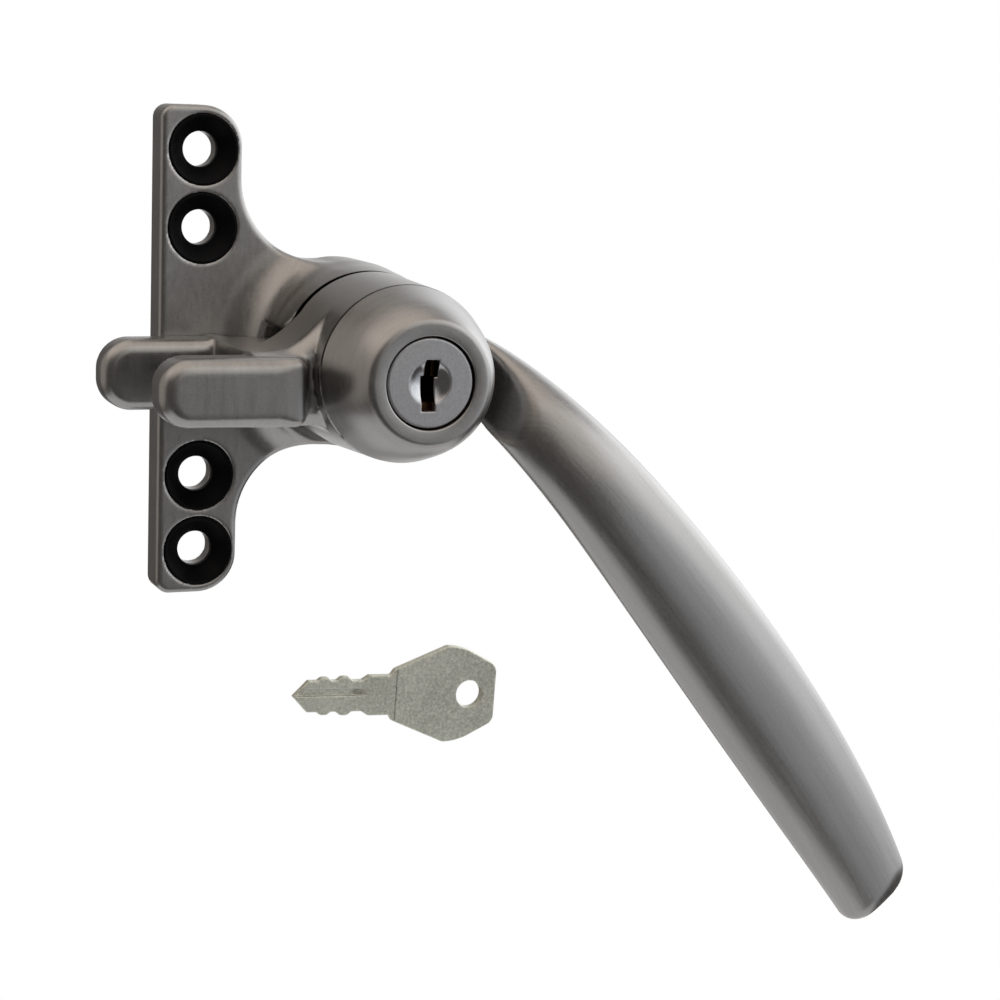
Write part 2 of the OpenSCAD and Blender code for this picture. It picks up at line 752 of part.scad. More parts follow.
// Front view of the key, its tip at the origin and its bow to the right
module key_outline() {
    half = blade_height / 2;
    tall = bow_height / 2;
    end = blade_length + bow_length;
    upper_edge = [[0, 0], [key_point[0], half - key_point[1]], [blade_length, half],
        [blade_length + key_shoulder[0], half + key_shoulder[1]],
        [blade_length + bow_length * bow_top[0], tall], [blade_length + bow_length * bow_top[1], tall],
        [end - bow_corner[0], tall * bow_corner[1]], [end, tall * bow_side]];
    lower_edge = [for (k = [len(upper_edge) - 1 : -1 : 1]) [upper_edge[k][0], -upper_edge[k][1]]];
    difference() {
        polygon(concat(upper_edge, lower_edge));
        translate([blade_length + bow_length * bow_hole, 0]) circle(key_hole);
        for (side = [0, 1]) mirror([0, side]) for (notch = key_notches)
            translate([notch[0], half]) circle(notch[1], $fn = facets);
    }
}

module key() {
    color(key_metal) on_wall() translate(key_place) rotate([0, 0, key_tilt]) difference() {
        slab(0, key_thick) key_outline();
        translate([-over, fit_gap, key_thick - key_groove[2]])
            cube([key_groove[0] + over, key_groove[1], over]);
    }
}

base_plate();
screw_cup(0);  // screw_cup_1
screw_cup(1);  // screw_cup_2
screw_cup(2);  // screw_cup_3
screw_cup(3);  // screw_cup_4
pivot_spindle();
spindle_screw();
rear_washer();
wave_washer();
front_washer();
lock_dome();
barrel_stop_pin();
lever_casting();
hub_bush();
lock_barrel();
lock_pin();
return_spring();
key_plug();
wafer(1);  // wafer_1
wafer(2);  // wafer_2
wafer(3);  // wafer_3
wafer(4);  // wafer_4
wafer(5);  // wafer_5
wafer_springs();
plug_clip();
key();
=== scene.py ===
"""Looks of a locking window handle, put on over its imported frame.

Shapes are worked out in millimetres in a front view: x to the right, y up and d towards the room,
with the pivot axis at x = 0, y = 0 and the wall PLATE_BACK behind d = 0. on_wall() stands them
upright in the frame.
"""
import math

import bpy
import numpy as np
from mathutils import Matrix, Vector


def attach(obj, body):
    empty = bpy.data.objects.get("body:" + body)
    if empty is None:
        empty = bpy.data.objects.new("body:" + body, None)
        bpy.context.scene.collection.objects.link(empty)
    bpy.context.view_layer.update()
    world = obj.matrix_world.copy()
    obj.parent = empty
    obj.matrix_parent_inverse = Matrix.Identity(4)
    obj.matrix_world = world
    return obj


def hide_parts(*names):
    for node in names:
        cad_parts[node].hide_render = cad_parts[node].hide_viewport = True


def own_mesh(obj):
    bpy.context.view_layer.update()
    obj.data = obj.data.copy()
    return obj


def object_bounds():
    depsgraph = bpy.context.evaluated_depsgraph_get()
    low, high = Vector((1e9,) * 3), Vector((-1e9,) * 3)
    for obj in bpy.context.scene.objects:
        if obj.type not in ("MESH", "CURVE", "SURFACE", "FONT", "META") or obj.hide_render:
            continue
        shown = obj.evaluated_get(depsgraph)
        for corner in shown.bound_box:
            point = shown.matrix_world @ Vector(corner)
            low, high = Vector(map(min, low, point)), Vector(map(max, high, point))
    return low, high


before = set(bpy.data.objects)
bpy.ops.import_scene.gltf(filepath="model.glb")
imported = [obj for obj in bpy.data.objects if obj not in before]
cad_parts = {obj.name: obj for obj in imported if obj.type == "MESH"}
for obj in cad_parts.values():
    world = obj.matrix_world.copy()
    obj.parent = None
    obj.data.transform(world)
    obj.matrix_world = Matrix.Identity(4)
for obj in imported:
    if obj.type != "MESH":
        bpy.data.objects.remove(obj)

cad_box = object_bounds()

MM = 0.001
PIVOT_X = 27.3

# Plate and collar, the cups, and the screw and square hole of the pivot in the plate
PLATE_HALF = 44.7
PLATE_THICK = 5.0
PLATE_BACK = 2.2
PLATE_EDGE = 0.9
WALL_EDGE = 0.6
STRIP_NEAR = 20.0
STRIP_WIDTH = 15.1
STRIP_ROUND = 7.2
STRIP_ROUND_FAR = 2.5
PLATE_SWEEP = 15.0
SWEEP_OVERLAP = 3.0
BOSS_RADIUS = 17.3
COLLAR_SIDE = 17.0
COLLAR_RIM = 16.3
COLLAR_FRONT = 19.2
COLLAR_BORE = 13.0
COLLAR_EDGE = 0.08
BORE_EDGE = 0.3
LEAN_END = 1.2
FOOT_ROUND = 8.0
SILL_FRONT = 9.2
OPENING_START = 160.0
OPENING_END = 330.0
COLLAR_CORNER = 3.5
OPENING_EDGE = 0.8
OPENING_FADE = 3.0
HOLE_HEIGHTS = (36.8, 22.7, -22.7, -36.8)
HOLE_X = -PIVOT_X
HOLE_BORE = 3.2
HOLE_EDGE = 0.25
CUP_RADIUS = 6.35
CUP_MOUTH = 5.9
CUP_FLOOR = 1.2
CUP_CONE_BACK = 2.4
CUP_FRONT = PLATE_THICK + 0.02
CUP_GAP = 0.03
CUP_SEAT_EDGE = 0.35
SCREW_HEAD = 4.0
SCREW_SHANK = 2.0
SCREW_SUNK = 0.3
SQUARE_HALF = 3.0
SQUARE_BACK = 2.9
# Corners of a cup as radius, d, and how far the curve there reaches along both sides
CUP_PROFILE = ((HOLE_BORE, CUP_FLOOR), (CUP_RADIUS, CUP_FLOOR), (CUP_RADIUS, CUP_FRONT, 0.15),
               (CUP_MOUTH, CUP_FRONT, 0.2), (HOLE_BORE, CUP_CONE_BACK, 0.25))
CUP_SIDES = 128

# Hub and dome
RING_RADIUS = 15.65
RING_BACK = 20.9
RING_FRONT = 38.9
RING_CHAMFER = 0.4
RING_EDGE = 0.05
RING_BACK_EDGE = 0.1
# Below this height the ring's front edge has a chamfer, which grows over the fade
CHAMFER_TOP = 2.0
CHAMFER_FADE = 4.0
SKIRT_RADIUS = 16.1
SKIRT_BORE = 11.8
SKIRT_EDGE = 0.3
SKIRT_START = 171.0
SKIRT_END = 262.0
HUB_BACK = 6.4
HUB_BORE = 10.0
DRUM_RADIUS = 12.8
HUB_WEB_FRONT = 18.8
WASHER_SEAT = 38.35
FRONT_RECESS = 12.7
BUSH_RADIUS = 4.2
DOME_BACK = 39.2
SEAM_FLOOR = 14.0
SEAM_FRONT = 39.5
DOME_LENGTH = 12.8
DOME_TAPER = 3.3
DOME_SHOULDER = 1.6
SHOULDER_POWER = 5
FLANK_SHARE = 0.95
DOME_NECK = 9.8
DOME_FLOOR_BACK = 19.1
DOME_FLOOR_FRONT = 21.5
DOME_BACK_EDGE = (0.1, 0.05)
DOME_BORE = 8.05
DOME_EYE = 3.2
DOME_LIP = 0.3
DOME_SIDES = 288
# The pin's hole in the dome's floor: its near and far radius, and its faces to each side of angle 0
PIN_HOLE = (5.3, 7.8)
PIN_HOLE_SIDES = 9

# Neck and nose
NOSE_DROP = 3.2
REAR_REACH = 47.0
FRONT_REACH = 43.2
REAR_HEIGHT = 12.9
FRONT_HEIGHT = 12.0
SLOT_END = 26.5
NECK_BACK = 9.6
NECK_FRONT = 35.7
NECK_SWEEP = 8.0
NECK_UNDERSIDE = 1.5
NECK_BACK_EDGE = 1.0
NECK_FRONT_ROUND = 3.6
BAR_INSIDE = 9.0
BAR_OVERLAP = 2.0
FOOT_CLEAR = 1.0
FOOT_LEVEL = 5.5
FOOT_SLOPE = 2.0
REAR_FINGER = (5.6, 11.7)
FRONT_FINGER = (31.0, 38.7)
FRONT_FINGER_END = 17.3
REAR_OVERLAP = 3.0
REAR_CROWN = 2.4
FRONT_CROWN = 2.6
FINGER_NOSE_SHARE = 0.44
FINGER_CORNER = 2.2
FINGER_BACK_EDGE = 0.6
FINGER_JOIN = 1.2
# Towards its right end a finger's front drops and its crown sharpens, over this reach
END_REACH = 5.0
END_DROP = 0.25
END_CROWN = 1.6

# Arm: corners of its curve, and how its width and its distance from the wall change along it
ARM_START = np.array((13.9, 0.6))
ARM_END = np.array((100.2, -104.7))
ARM_PATH = (ARM_START, ARM_START + (7.5, -2.85), ARM_END + (-22.2, 38.5), ARM_END)
ARM_WIDTH = (12.0, 14.9)
ARM_BULGE = 7.4
ARM_HALF = (5.5, 4.5)
ARM_START_STAND = RING_FRONT - 7.9
ROOT_CUT = 16.4
ROOT_STEP = 33.5
ROOT_SLANT = (0.85, 0.5)
ROOT_EDGE = 1.2
SEAT_RADIUS = 14.5
SEAT_BACK = 1.0
SEAT_FRONT = 1.5
SEAT_JOIN = 3.0
ARM_STAND = 45.0
ARM_TIP_STAND = 43.0
ARM_RISE = 45.0
ARM_POWERS = (2.05, 2.35)
ARM_ROOT_PAST = 2.0
ARM_TIP_ROUND = 4.4
ARM_TIP_CHANGE = 1.4
ARM_TIP_REACH = 4.0

# Brush marks run round the dome, and along the arm from past its root
DOME_GRAIN_RADIUS = 12.0
ARM_GRAIN_START = 2.0
ARM_GRAIN_FADE = 12.0
NOSE_GRAIN = (2.2, 0.4)

# Lock
BARREL_RADIUS = 7.75
FACE_FRONT = 51.5
HEAD_BACK = 50.0
PLUG_BACK = 31.9
BARREL_BACK = 30.0
HEAD_EDGE = 0.35
SHANK_OVERLAP = 0.5
PLUG_RADIUS = 5.4
DISH_RADIUS = 3.8
DISH_BALL = 7.1
DISH_DEPTH = 1.1
DISH_EDGE = 0.08
KEYWAY_WIDTH = 2.4
KEYWAY_HEIGHT = 8.5
KEYWAY_DROP = 0.3
KEYWAY_FLOOR = 1.0
KEYWAY_EDGE = 0.12
UPPER_SLOT_X = 0.35
UPPER_SLOT_FOOT = 1.2
LOWER_SLOT_X = -0.25
LOWER_SLOT_HEAD = 1.4
LOWER_SLOT_PAST = 0.3

# Return spring
COIL_RADIUS = 4.5
COIL_WIRE = 0.35
COIL_TURNS = 4
COIL_STEPS = 24
COIL_GAP = 0.05
WIRE_SIDES = 8

# Key, along its own middle line from the blade's tip
KEY_TIP = (-6.2, -67.6)
KEY_TILT = -2.5
KEY_THICK = 1.9
KEY_EDGE = 0.3
KEY_JOIN = 0.4
BLADE_HEIGHT = 8.0
BLADE_LENGTH = 20.4
BLADE_OVERLAP = 3.0
BLADE_THIN = 0.12
COLLAR_STEP = 0.4
BLADE_CUT = 0.9
BLADE_CUT_END = 15.2
BLADE_CUT_FADE = 1.4
BOW_HEIGHT = 19.4
BOW_LENGTH = 21.4
BOW_OVERLAP = 0.6
BOW_EDGE = 1.2
# Teeth that the blade's cut leaves standing: place, half width and height
KEY_TEETH = ((6.1, 1.15, 0.62), (10.2, 1.25, 0.75))
# Slanting sides: offset, slope and the length of (1, slope)
TIP_SLANT = (0.2, 1.05, 1.45)
BOW_SLANTS = ((0.9, 0.42, 1.085), (0.2, 1.6, 1.887))
END_SLANT = (-0.2, -0.52, 1.127)
END_SLANT_REACH = 7.2
KEY_HOLE = 2.7
KEY_HOLE_SHARE = 0.74
KEY_HOLE_EDGE = 0.1
GROOVE_SPAN = (0.1, 1.5)
GROOVE_DEPTH = 0.75
GROOVE_FADE = 12.0
GROOVE_SLOPE = 0.25
GROOVE_END = 17.0
GROOVE_EDGE = 0.15

# Each skin's grid: its low corner, its high corner and its step
PLATE_GRID = ((-35.6, -45.6, -PLATE_BACK - 0.6), (18.0, 45.6, COLLAR_FRONT + 0.6), 0.4)
LEVER_GRID = ((-47.8, -114.0, 5.0), (110.0, 17.0, 52.0), 0.5)
PLUG_GRID = ((-8.2, -8.2, PLUG_BACK - 0.5), (8.2, 8.2, FACE_FRONT + 0.4), 0.16)
KEY_GRID = ((-8.4, -80.0, -0.4), (37.3, -56.0, KEY_THICK + 0.4), 0.16)

# How often a point is refined, how small a step measures a slope, and how far from a crisp edge a
# point of a skin is moved onto it
NEWTON_STEPS = 3
SLOPE_STEP = 0.01
SNAP = 0.42


def on_wall(points):
    """Front-view millimetres (x, y, d) to the frame's metres."""
    x, y, d = points.T
    return np.stack((x + PIVOT_X, -d - PLATE_BACK, y), axis=1) * MM


# Fields: a solid is where its field is below zero, and away from edges a field is a distance in mm
def round_join(a, b, radius):
    """Two solids joined, with a fillet of the radius where they meet."""
    bend = np.hypot(np.maximum(radius - a, 0), np.maximum(radius - b, 0))
    return np.maximum(radius, np.minimum(a, b)) - bend


def round_common(a, b, radius):
    """What two solids share, with its edge rounded to the radius."""
    bend = np.hypot(np.maximum(radius + a, 0), np.maximum(radius + b, 0))
    return np.minimum(-radius, np.maximum(a, b)) + bend


def round_cut(a, b, radius):
    """The first solid less the second, with the edge of the cut rounded."""
    return round_common(a, -b, radius)


def box_field(x, y, half_x, half_y, radius):
    """A rectangle round the origin with round corners: distance past its sides, less the radius."""
    past_x = np.abs(x) - half_x + radius
    past_y = np.abs(y) - half_y + radius
    inside = np.minimum(np.maximum(past_x, past_y), 0)
    return inside + np.hypot(np.maximum(past_x, 0), np.maximum(past_y, 0)) - radius


def between(d, low, high):
    """A slab from low to high."""
    return np.maximum(low - d, d - high)


def wedge_field(x, y, start, end):
    """A wedge round the axis from one angle to another, less than half a turn apart."""
    from_x, from_y = math.cos(math.radians(start)), math.sin(math.radians(start))
    to_x, to_y = math.cos(math.radians(end)), math.sin(math.radians(end))
    return np.maximum(from_y * x - from_x * y, to_x * y - to_y * x)


def outline_field(x, y):
    """The plate's front view: a round-cornered strip, the boss, and a sweep curve that touches both."""
    middle = STRIP_NEAR + STRIP_WIDTH / 2
    corner = np.where(x > -middle, STRIP_ROUND, STRIP_ROUND_FAR)
    strip = box_field(x + middle, y, STRIP_WIDTH / 2, PLATE_HALF, corner)
    boss = np.hypot(x, y) - BOSS_RADIUS
    centre_x = PLATE_SWEEP - STRIP_NEAR
    centre_y = math.sqrt((BOSS_RADIUS + PLATE_SWEEP) ** 2 - centre_x ** 2)
    up = np.abs(y)
    round_air = PLATE_SWEEP - np.hypot(x - centre_x, up - centre_y)
    past_line = (up * centre_x - x * centre_y) / -(BOSS_RADIUS + PLATE_SWEEP)
    sweep = np.maximum(np.maximum(round_air, up - centre_y), past_line)
    sweep = np.maximum(sweep, -x - STRIP_NEAR - SWEEP_OVERLAP)
    return np.minimum(np.minimum(strip, boss), sweep)


def plate_field(x, y, d):
    """Face plate, its collar with a foot fillet, the opening over the sill, the bore and the holes."""
    radius = np.hypot(x, y)
    outline = outline_field(x, y)
    slab = d - PLATE_THICK
    lean = np.clip((d - PLATE_THICK - FOOT_ROUND) / (COLLAR_FRONT - PLATE_THICK - FOOT_ROUND), 0, LEAN_END)
    tube = radius - COLLAR_SIDE + (COLLAR_SIDE - COLLAR_RIM) * lean * lean
    body = round_join(slab, tube, FOOT_ROUND)
    opening = np.maximum(wedge_field(x, y, OPENING_START, OPENING_END), SILL_FRONT - d)
    top = round_common(d - COLLAR_FRONT, -opening, COLLAR_CORNER)
    body = round_common(body, top, COLLAR_EDGE + OPENING_EDGE * np.clip(1 - opening / OPENING_FADE, 0, 1))
    body = round_common(body, outline, PLATE_EDGE)
    body = round_cut(body, np.maximum(radius - COLLAR_BORE, PLATE_THICK - d), BORE_EDGE)
    body = round_common(body, -PLATE_BACK - d, WALL_EDGE)
    for height in HOLE_HEIGHTS:
        from_hole = np.hypot(x - HOLE_X, y - height)
        body = round_cut(body, np.maximum(from_hole - CUP_RADIUS - CUP_GAP, CUP_FLOOR - d), CUP_SEAT_EDGE)
        body = round_cut(body, from_hole - HOLE_BORE, HOLE_EDGE)
    deep = d + PLATE_BACK
    screw = np.where(deep < SCREW_SUNK, SCREW_HEAD, np.maximum(SCREW_HEAD + SCREW_SUNK - deep, SCREW_SHANK))
    body = np.maximum(body, screw - radius)
    square = np.maximum(np.maximum(np.abs(x), np.abs(y)) - SQUARE_HALF, SQUARE_BACK - d)
    return np.maximum(body, -square)


def arm_point(t):
    """Place on the arm's curve: a cubic curve through ARM_PATH's four points."""
    t = t[..., None]
    a, b, c, e = ARM_PATH
    return (1 - t) ** 3 * a + 3 * (1 - t) ** 2 * t * b + 3 * (1 - t) * t * t * c + t ** 3 * e


def arm_speed(t):
    """How fast that place moves as t grows."""
    t = t[..., None]
    a, b, c, e = ARM_PATH
    return 3 * (1 - t) ** 2 * (b - a) + 6 * (1 - t) * t * (c - b) + 3 * t * t * (e - c)


def arm_bend(t):
    """How fast the speed changes."""
    t = t[..., None]
    a, b, c, e = ARM_PATH
    return 6 * (1 - t) * (c - 2 * b + a) + 6 * t * (e - 2 * c + b)


ARM_STEPS = np.linspace(0, 1, 201)
ARM_LENGTHS = np.concatenate(((0,), np.cumsum(np.hypot(*np.diff(arm_point(ARM_STEPS), axis=0).T))))
ARM_GUESSES = ARM_STEPS[::5]
ARM_BATCH = 20000


def arm_coordinates(x, y):
    """Where a front-view point lies on the arm: t, the distance along it and the distance to its side.

    The nearest of the guesses is refined by Newton steps on the square of the distance.
    """
    shape = np.broadcast(x, y).shape
    points = np.stack((np.broadcast_to(x, shape).ravel(), np.broadcast_to(y, shape).ravel()), axis=1)
    t = np.empty(len(points))
    for low in range(0, len(points), ARM_BATCH):
        part = points[low:low + ARM_BATCH]
        away = ((part[:, None, :] - arm_point(ARM_GUESSES)[None]) ** 2).sum(axis=2)
        t[low:low + ARM_BATCH] = ARM_GUESSES[away.argmin(axis=1)]
    for _ in range(NEWTON_STEPS):
        off = arm_point(t) - points
        speed = arm_speed(t)
        slope = (off * speed).sum(axis=1)
        curve = (speed * speed).sum(axis=1) + (off * arm_bend(t)).sum(axis=1)
        t = np.clip(t - slope / np.maximum(curve, 1.0), 0, 1)
    way = arm_speed(t)
    way /= np.linalg.norm(way, axis=1)[:, None]
    off = points - arm_point(t)
    past = (off * way).sum(axis=1)
    side = off[:, 1] * way[:, 0] - off[:, 0] * way[:, 1]
    along = np.interp(t, ARM_STEPS, ARM_LENGTHS) + past
    return tuple(v.reshape(shape) for v in (t, along, side))


def arm_stand(t):
    """Distance from the wall to the arm's middle: a rise that eases out, then a slow fall."""
    rise = 1 - np.clip(1 - np.interp(t, ARM_STEPS, ARM_LENGTHS) / ARM_RISE, 0, 1) ** 3
    return ARM_START_STAND + (ARM_STAND - ARM_START_STAND) * rise + (ARM_TIP_STAND - ARM_STAND) * t * t


def arm_field(x, y, d):
    """The arm: a rounded-square section carried along the curve, with a round end."""
    t, along, side = arm_coordinates(x, y)
    width = ARM_WIDTH[0] + (ARM_WIDTH[1] - ARM_WIDTH[0]) * t + ARM_BULGE * np.sin(np.pi * t ** 1.5)
    half_width = width / 2
    half_thick = ARM_HALF[0] + (ARM_HALF[1] - ARM_HALF[0]) * t
    power = ARM_POWERS[0] + (ARM_POWERS[1] - ARM_POWERS[0]) * t
    u = np.abs(side) / half_width
    v = np.abs(d - arm_stand(t)) / half_thick
    total = np.maximum(u ** power + v ** power, 1e-6)
    size = total ** (1 / power)
    steep = size ** (1 - power) * np.hypot(u ** (power - 1) / half_width, v ** (power - 1) / half_thick)
    section = (size - 1) / np.maximum(steep, 0.02)
    tip = along - ARM_LENGTHS[-1]
    tip_round = ARM_TIP_ROUND + ARM_TIP_CHANGE * np.clip(side / ARM_TIP_REACH, -1, 1)
    return np.maximum(round_common(section, tip, tip_round), -ARM_ROOT_PAST - along)


def finger_field(x, y, d, reach, near, height, span, crown):
    """A finger: a round-nosed bar in the front view, its front edge eased into a flat panel."""
    middle = (reach + near) / 2
    blunt = np.where(x < -middle, height * FINGER_NOSE_SHARE, FINGER_CORNER)
    bar = box_field(x + middle, y + NOSE_DROP, (reach - near) / 2, height / 2, blunt)
    end = np.clip((x + near + END_REACH) / END_REACH, 0, 1)
    front = round_common(bar, d - span[1] + END_DROP * end * end, crown - END_CROWN * end)
    return round_common(front, span[0] - d, FINGER_BACK_EDGE)


def lever_field(x, y, d):
    """Turning hub, skirt, neck, both fingers of the nose, and the arm, as one casting."""
    radius = np.hypot(x, y)
    cone = radius - RING_RADIUS - (COLLAR_RIM - RING_RADIUS) * (RING_FRONT - d) / (RING_FRONT - RING_BACK)
    chamfer = RING_CHAMFER * np.clip((CHAMFER_TOP - y) / CHAMFER_FADE, 0, 1)
    ring = round_common(cone, d - RING_FRONT, RING_EDGE + chamfer)
    ring = round_common(ring, RING_BACK - d, RING_BACK_EDGE)
    drum = np.maximum(radius - DRUM_RADIUS, between(d, HUB_BACK, RING_BACK + 1))
    skirt = np.maximum(between(d, NECK_BACK, COLLAR_FRONT), SKIRT_BORE - radius)
    skirt = round_common(skirt, radius - SKIRT_RADIUS, SKIRT_EDGE)
    skirt = round_common(skirt, wedge_field(x, y, SKIRT_START, SKIRT_END), SKIRT_EDGE)
    bar = np.maximum(np.abs(y + NOSE_DROP) - REAR_HEIGHT / 2, np.maximum(x + BAR_INSIDE, -x - SLOT_END))
    neck = np.where(y > -NOSE_DROP, round_join(bar, cone, NECK_SWEEP), round_join(bar, cone, NECK_UNDERSIDE))
    neck = round_common(neck, RING_BACK - d, NECK_BACK_EDGE)
    neck = round_common(neck, d - NECK_FRONT, NECK_FRONT_ROUND)
    root = round_common(bar, between(d, REAR_FINGER[0], RING_BACK + BAR_OVERLAP), NECK_BACK_EDGE)
    rear = finger_field(x, y, d, REAR_REACH, SLOT_END - REAR_OVERLAP, REAR_HEIGHT, REAR_FINGER, REAR_CROWN)
    front = finger_field(x, y, d, FRONT_REACH, FRONT_FINGER_END, FRONT_HEIGHT, FRONT_FINGER, FRONT_CROWN)
    nose = round_join(round_join(np.minimum(neck, root), rear, FINGER_JOIN), front, FINGER_JOIN)
    foot_room = COLLAR_SIDE + FOOT_ROUND + FOOT_CLEAR - (d - FOOT_LEVEL) * FOOT_SLOPE
    nose = np.where(d < NECK_BACK, np.maximum(nose, foot_room - radius), nose)
    slant = ROOT_SLANT[0] * (radius - ROOT_CUT) - ROOT_SLANT[1] * (d - ROOT_STEP)
    arm = round_cut(arm_field(x, y, d), np.maximum(slant, ROOT_STEP - d), ROOT_EDGE)
    seat = np.maximum(radius - SEAT_RADIUS, between(d, RING_BACK + SEAT_BACK, RING_FRONT - SEAT_FRONT))
    arm = round_join(arm, seat, SEAT_JOIN)
    body = np.minimum(np.minimum(ring, drum), np.minimum(skirt, nose))
    body = np.minimum(body, arm)
    hollow = np.where(d > WASHER_SEAT, FRONT_RECESS, np.where(d > HUB_WEB_FRONT, HUB_BORE, BUSH_RADIUS))
    return np.maximum(body, hollow - radius)


def surface(field, low, high, step):
    """Skin of a field's solid, as points and four-cornered faces.

    Each cell of a grid that the skin passes through gets a point at the mean of the crossings on its
    edges. Each grid edge that the skin crosses gets a face from the four cells round it. Newton steps
    along the field's slope then put the points on the skin.
    """
    axes = [np.arange(a, b + step, step) for a, b in zip(low, high)]
    grid = field(axes[0][:, None, None], axes[1][None, :, None], axes[2][None, None, :]).astype(np.float32)
    inside = grid < 0
    shape = tuple(n - 1 for n in grid.shape)
    total = np.zeros(shape + (3,), np.float32)
    count = np.zeros(shape, np.int16)
    crossings = []
    for axis in range(3):
        others = [k for k in range(3) if k != axis]
        first = [slice(None)] * 3
        second = [slice(None)] * 3
        first[axis], second[axis] = slice(None, -1), slice(1, None)
        a, b = grid[tuple(first)], grid[tuple(second)]
        crossed = inside[tuple(first)] != inside[tuple(second)]
        place = np.argwhere(crossed)
        share = a[crossed] / (a[crossed] - b[crossed])
        crossings.append((place, inside[tuple(first)][crossed]))
        for one in (0, 1):
            for two in (0, 1):
                cell = place.copy()
                cell[:, others[0]] -= one
                cell[:, others[1]] -= two
                good = (cell >= 0).all(axis=1) & (cell < shape).all(axis=1)
                spot = place[good].astype(np.float32)
                spot[:, axis] += share[good]
                index = tuple(cell[good].T)
                np.add.at(total, index, spot)
                np.add.at(count, index, 1)
    cells = count > 0
    number = np.full(shape, -1, np.int64)
    number[cells] = np.arange(cells.sum())
    points = total[cells] / count[cells][:, None] * step + np.array(low)
    faces = []
    for axis, (place, entering) in enumerate(crossings):
        one, two = (axis + 1) % 3, (axis + 2) % 3
        ring = []
        for shift in ((0, 0), (1, 0), (1, 1), (0, 1)):
            cell = place.copy()
            cell[:, one] -= shift[0]
            cell[:, two] -= shift[1]
            good = (cell >= 0).all(axis=1) & (cell < shape).all(axis=1)
            ring.append(np.where(good, number[tuple(np.clip(cell, 0, np.array(shape) - 1).T)], -1))
        quad = np.stack(ring, axis=1)
        quad[~entering] = quad[~entering][:, ::-1]
        faces.append(quad[(quad >= 0).all(axis=1)])
    points = points.astype(float)
    for _ in range(NEWTON_STEPS):
        value, slope = slope_of(field, points)
        shift = value[:, None] * slope / np.maximum((slope * slope).sum(axis=1), 0.05)[:, None]
        points -= np.clip(shift, -step / 2, step / 2)
    return points, np.concatenate(faces)


def snap(points, radius, d, where):
    """Points of a skin that lie close to a round edge are moved onto it, so that it stays crisp."""
    from_axis = np.hypot(points[:, 0], points[:, 1])
    near = (np.abs(from_axis - radius) < SNAP) & (np.abs(points[:, 2] - d) < SNAP) & where
    points[near, :2] *= (radius / from_axis[near])[:, None]
    points[near, 2] = d


def slope_of(field, points):
    """The field's value and slope at points, by differences over a short step."""
    value = field(*points.T)
    slope = np.empty_like(points)
    for axis in range(3):
        moved = points.copy()
        moved[:, axis] += SLOPE_STEP
        slope[:, axis] = (field(*moved.T) - value) / SLOPE_STEP
    return value, slope


def piece(name, points, faces, material, body, nodes, sharp=None, grain=None):
    """A piece of the scene: a mesh in the frame that rides on a body and stands for its nodes."""
    mesh = bpy.data.meshes.new(name)
    mesh.from_pydata(on_wall(points), [], faces.tolist() if hasattr(faces, "tolist") else faces)
    mesh.validate()
    mesh.shade_smooth()
    if sharp:
        mesh.set_sharp_from_angle(angle=math.radians(sharp))
    if grain is not None:
        data = mesh.attributes.new("grain", "FLOAT_VECTOR", "POINT")
        data.data.foreach_set("vector", np.ascontiguousarray(grain, dtype=np.float32).ravel())
    mesh.materials.append(material)
    thing = bpy.data.objects.new(name, mesh)
    bpy.context.scene.collection.objects.link(thing)
    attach(thing, body)
    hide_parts(*nodes)
    return thing


def lathe(profile, sides, centre=(0.0, 0.0)):
    """A closed profile of (radius, d) points carried round the axis: x = r cos a, y = r sin a."""
    profile = np.array(profile, dtype=float)
    angles = np.arange(sides) * 2 * np.pi / sides
    radius, depth = profile[:, 0][:, None], profile[:, 1][:, None]
    x = radius * np.cos(angles) + centre[0]
    y = radius * np.sin(angles) + centre[1]
    points = np.stack((x, y, np.broadcast_to(depth, x.shape)), axis=2).reshape(-1, 3)
    row = np.arange(len(profile))[:, None] * sides
    next_row = np.roll(row, -1, axis=0)
    column = np.arange(sides)[None]
    next_column = np.roll(column, -1, axis=1)
    faces = np.stack((row + column, row + next_column, next_row + next_column, next_row + column), axis=2)
    return points, faces.reshape(-1, 4)


def rounded(profile, steps=4):
    """A closed profile with a curve in place of each corner that has a size as its third number."""
    result = []
    for k, corner in enumerate(profile):
        here = np.array(corner[:2], dtype=float)
        if len(corner) == 3:
            before = np.array(profile[k - 1][:2], dtype=float)
            after = np.array(profile[(k + 1) % len(profile)][:2], dtype=float)
            start = here + (before - here) / np.linalg.norm(before - here) * corner[2]
            end = here + (after - here) / np.linalg.norm(after - here) * corner[2]
            for t in np.linspace(0, 1, steps + 1):
                result.append((1 - t) ** 2 * start + 2 * (1 - t) * t * here + t * t * end)
        else:
            result.append(here)
    return result


class Wire:
    """A number in a shader. Sums with +, - and * add their Math nodes."""

    def __init__(self, recipe, socket):
        self.recipe = recipe
        self.socket = socket

    def sum(self, operation, first, second):
        """A Math node of two numbers, each a wire or plain."""
        return self.recipe.add("ShaderNodeMath", {"operation": operation}, {0: first, 1: second})

    def __add__(self, other):
        return self.sum("ADD", self, other)

    def __sub__(self, other):
        return self.sum("SUBTRACT", self, other)

    def __rsub__(self, other):
        return self.sum("SUBTRACT", other, self)

    def __mul__(self, other):
        return self.sum("MULTIPLY", self, other)


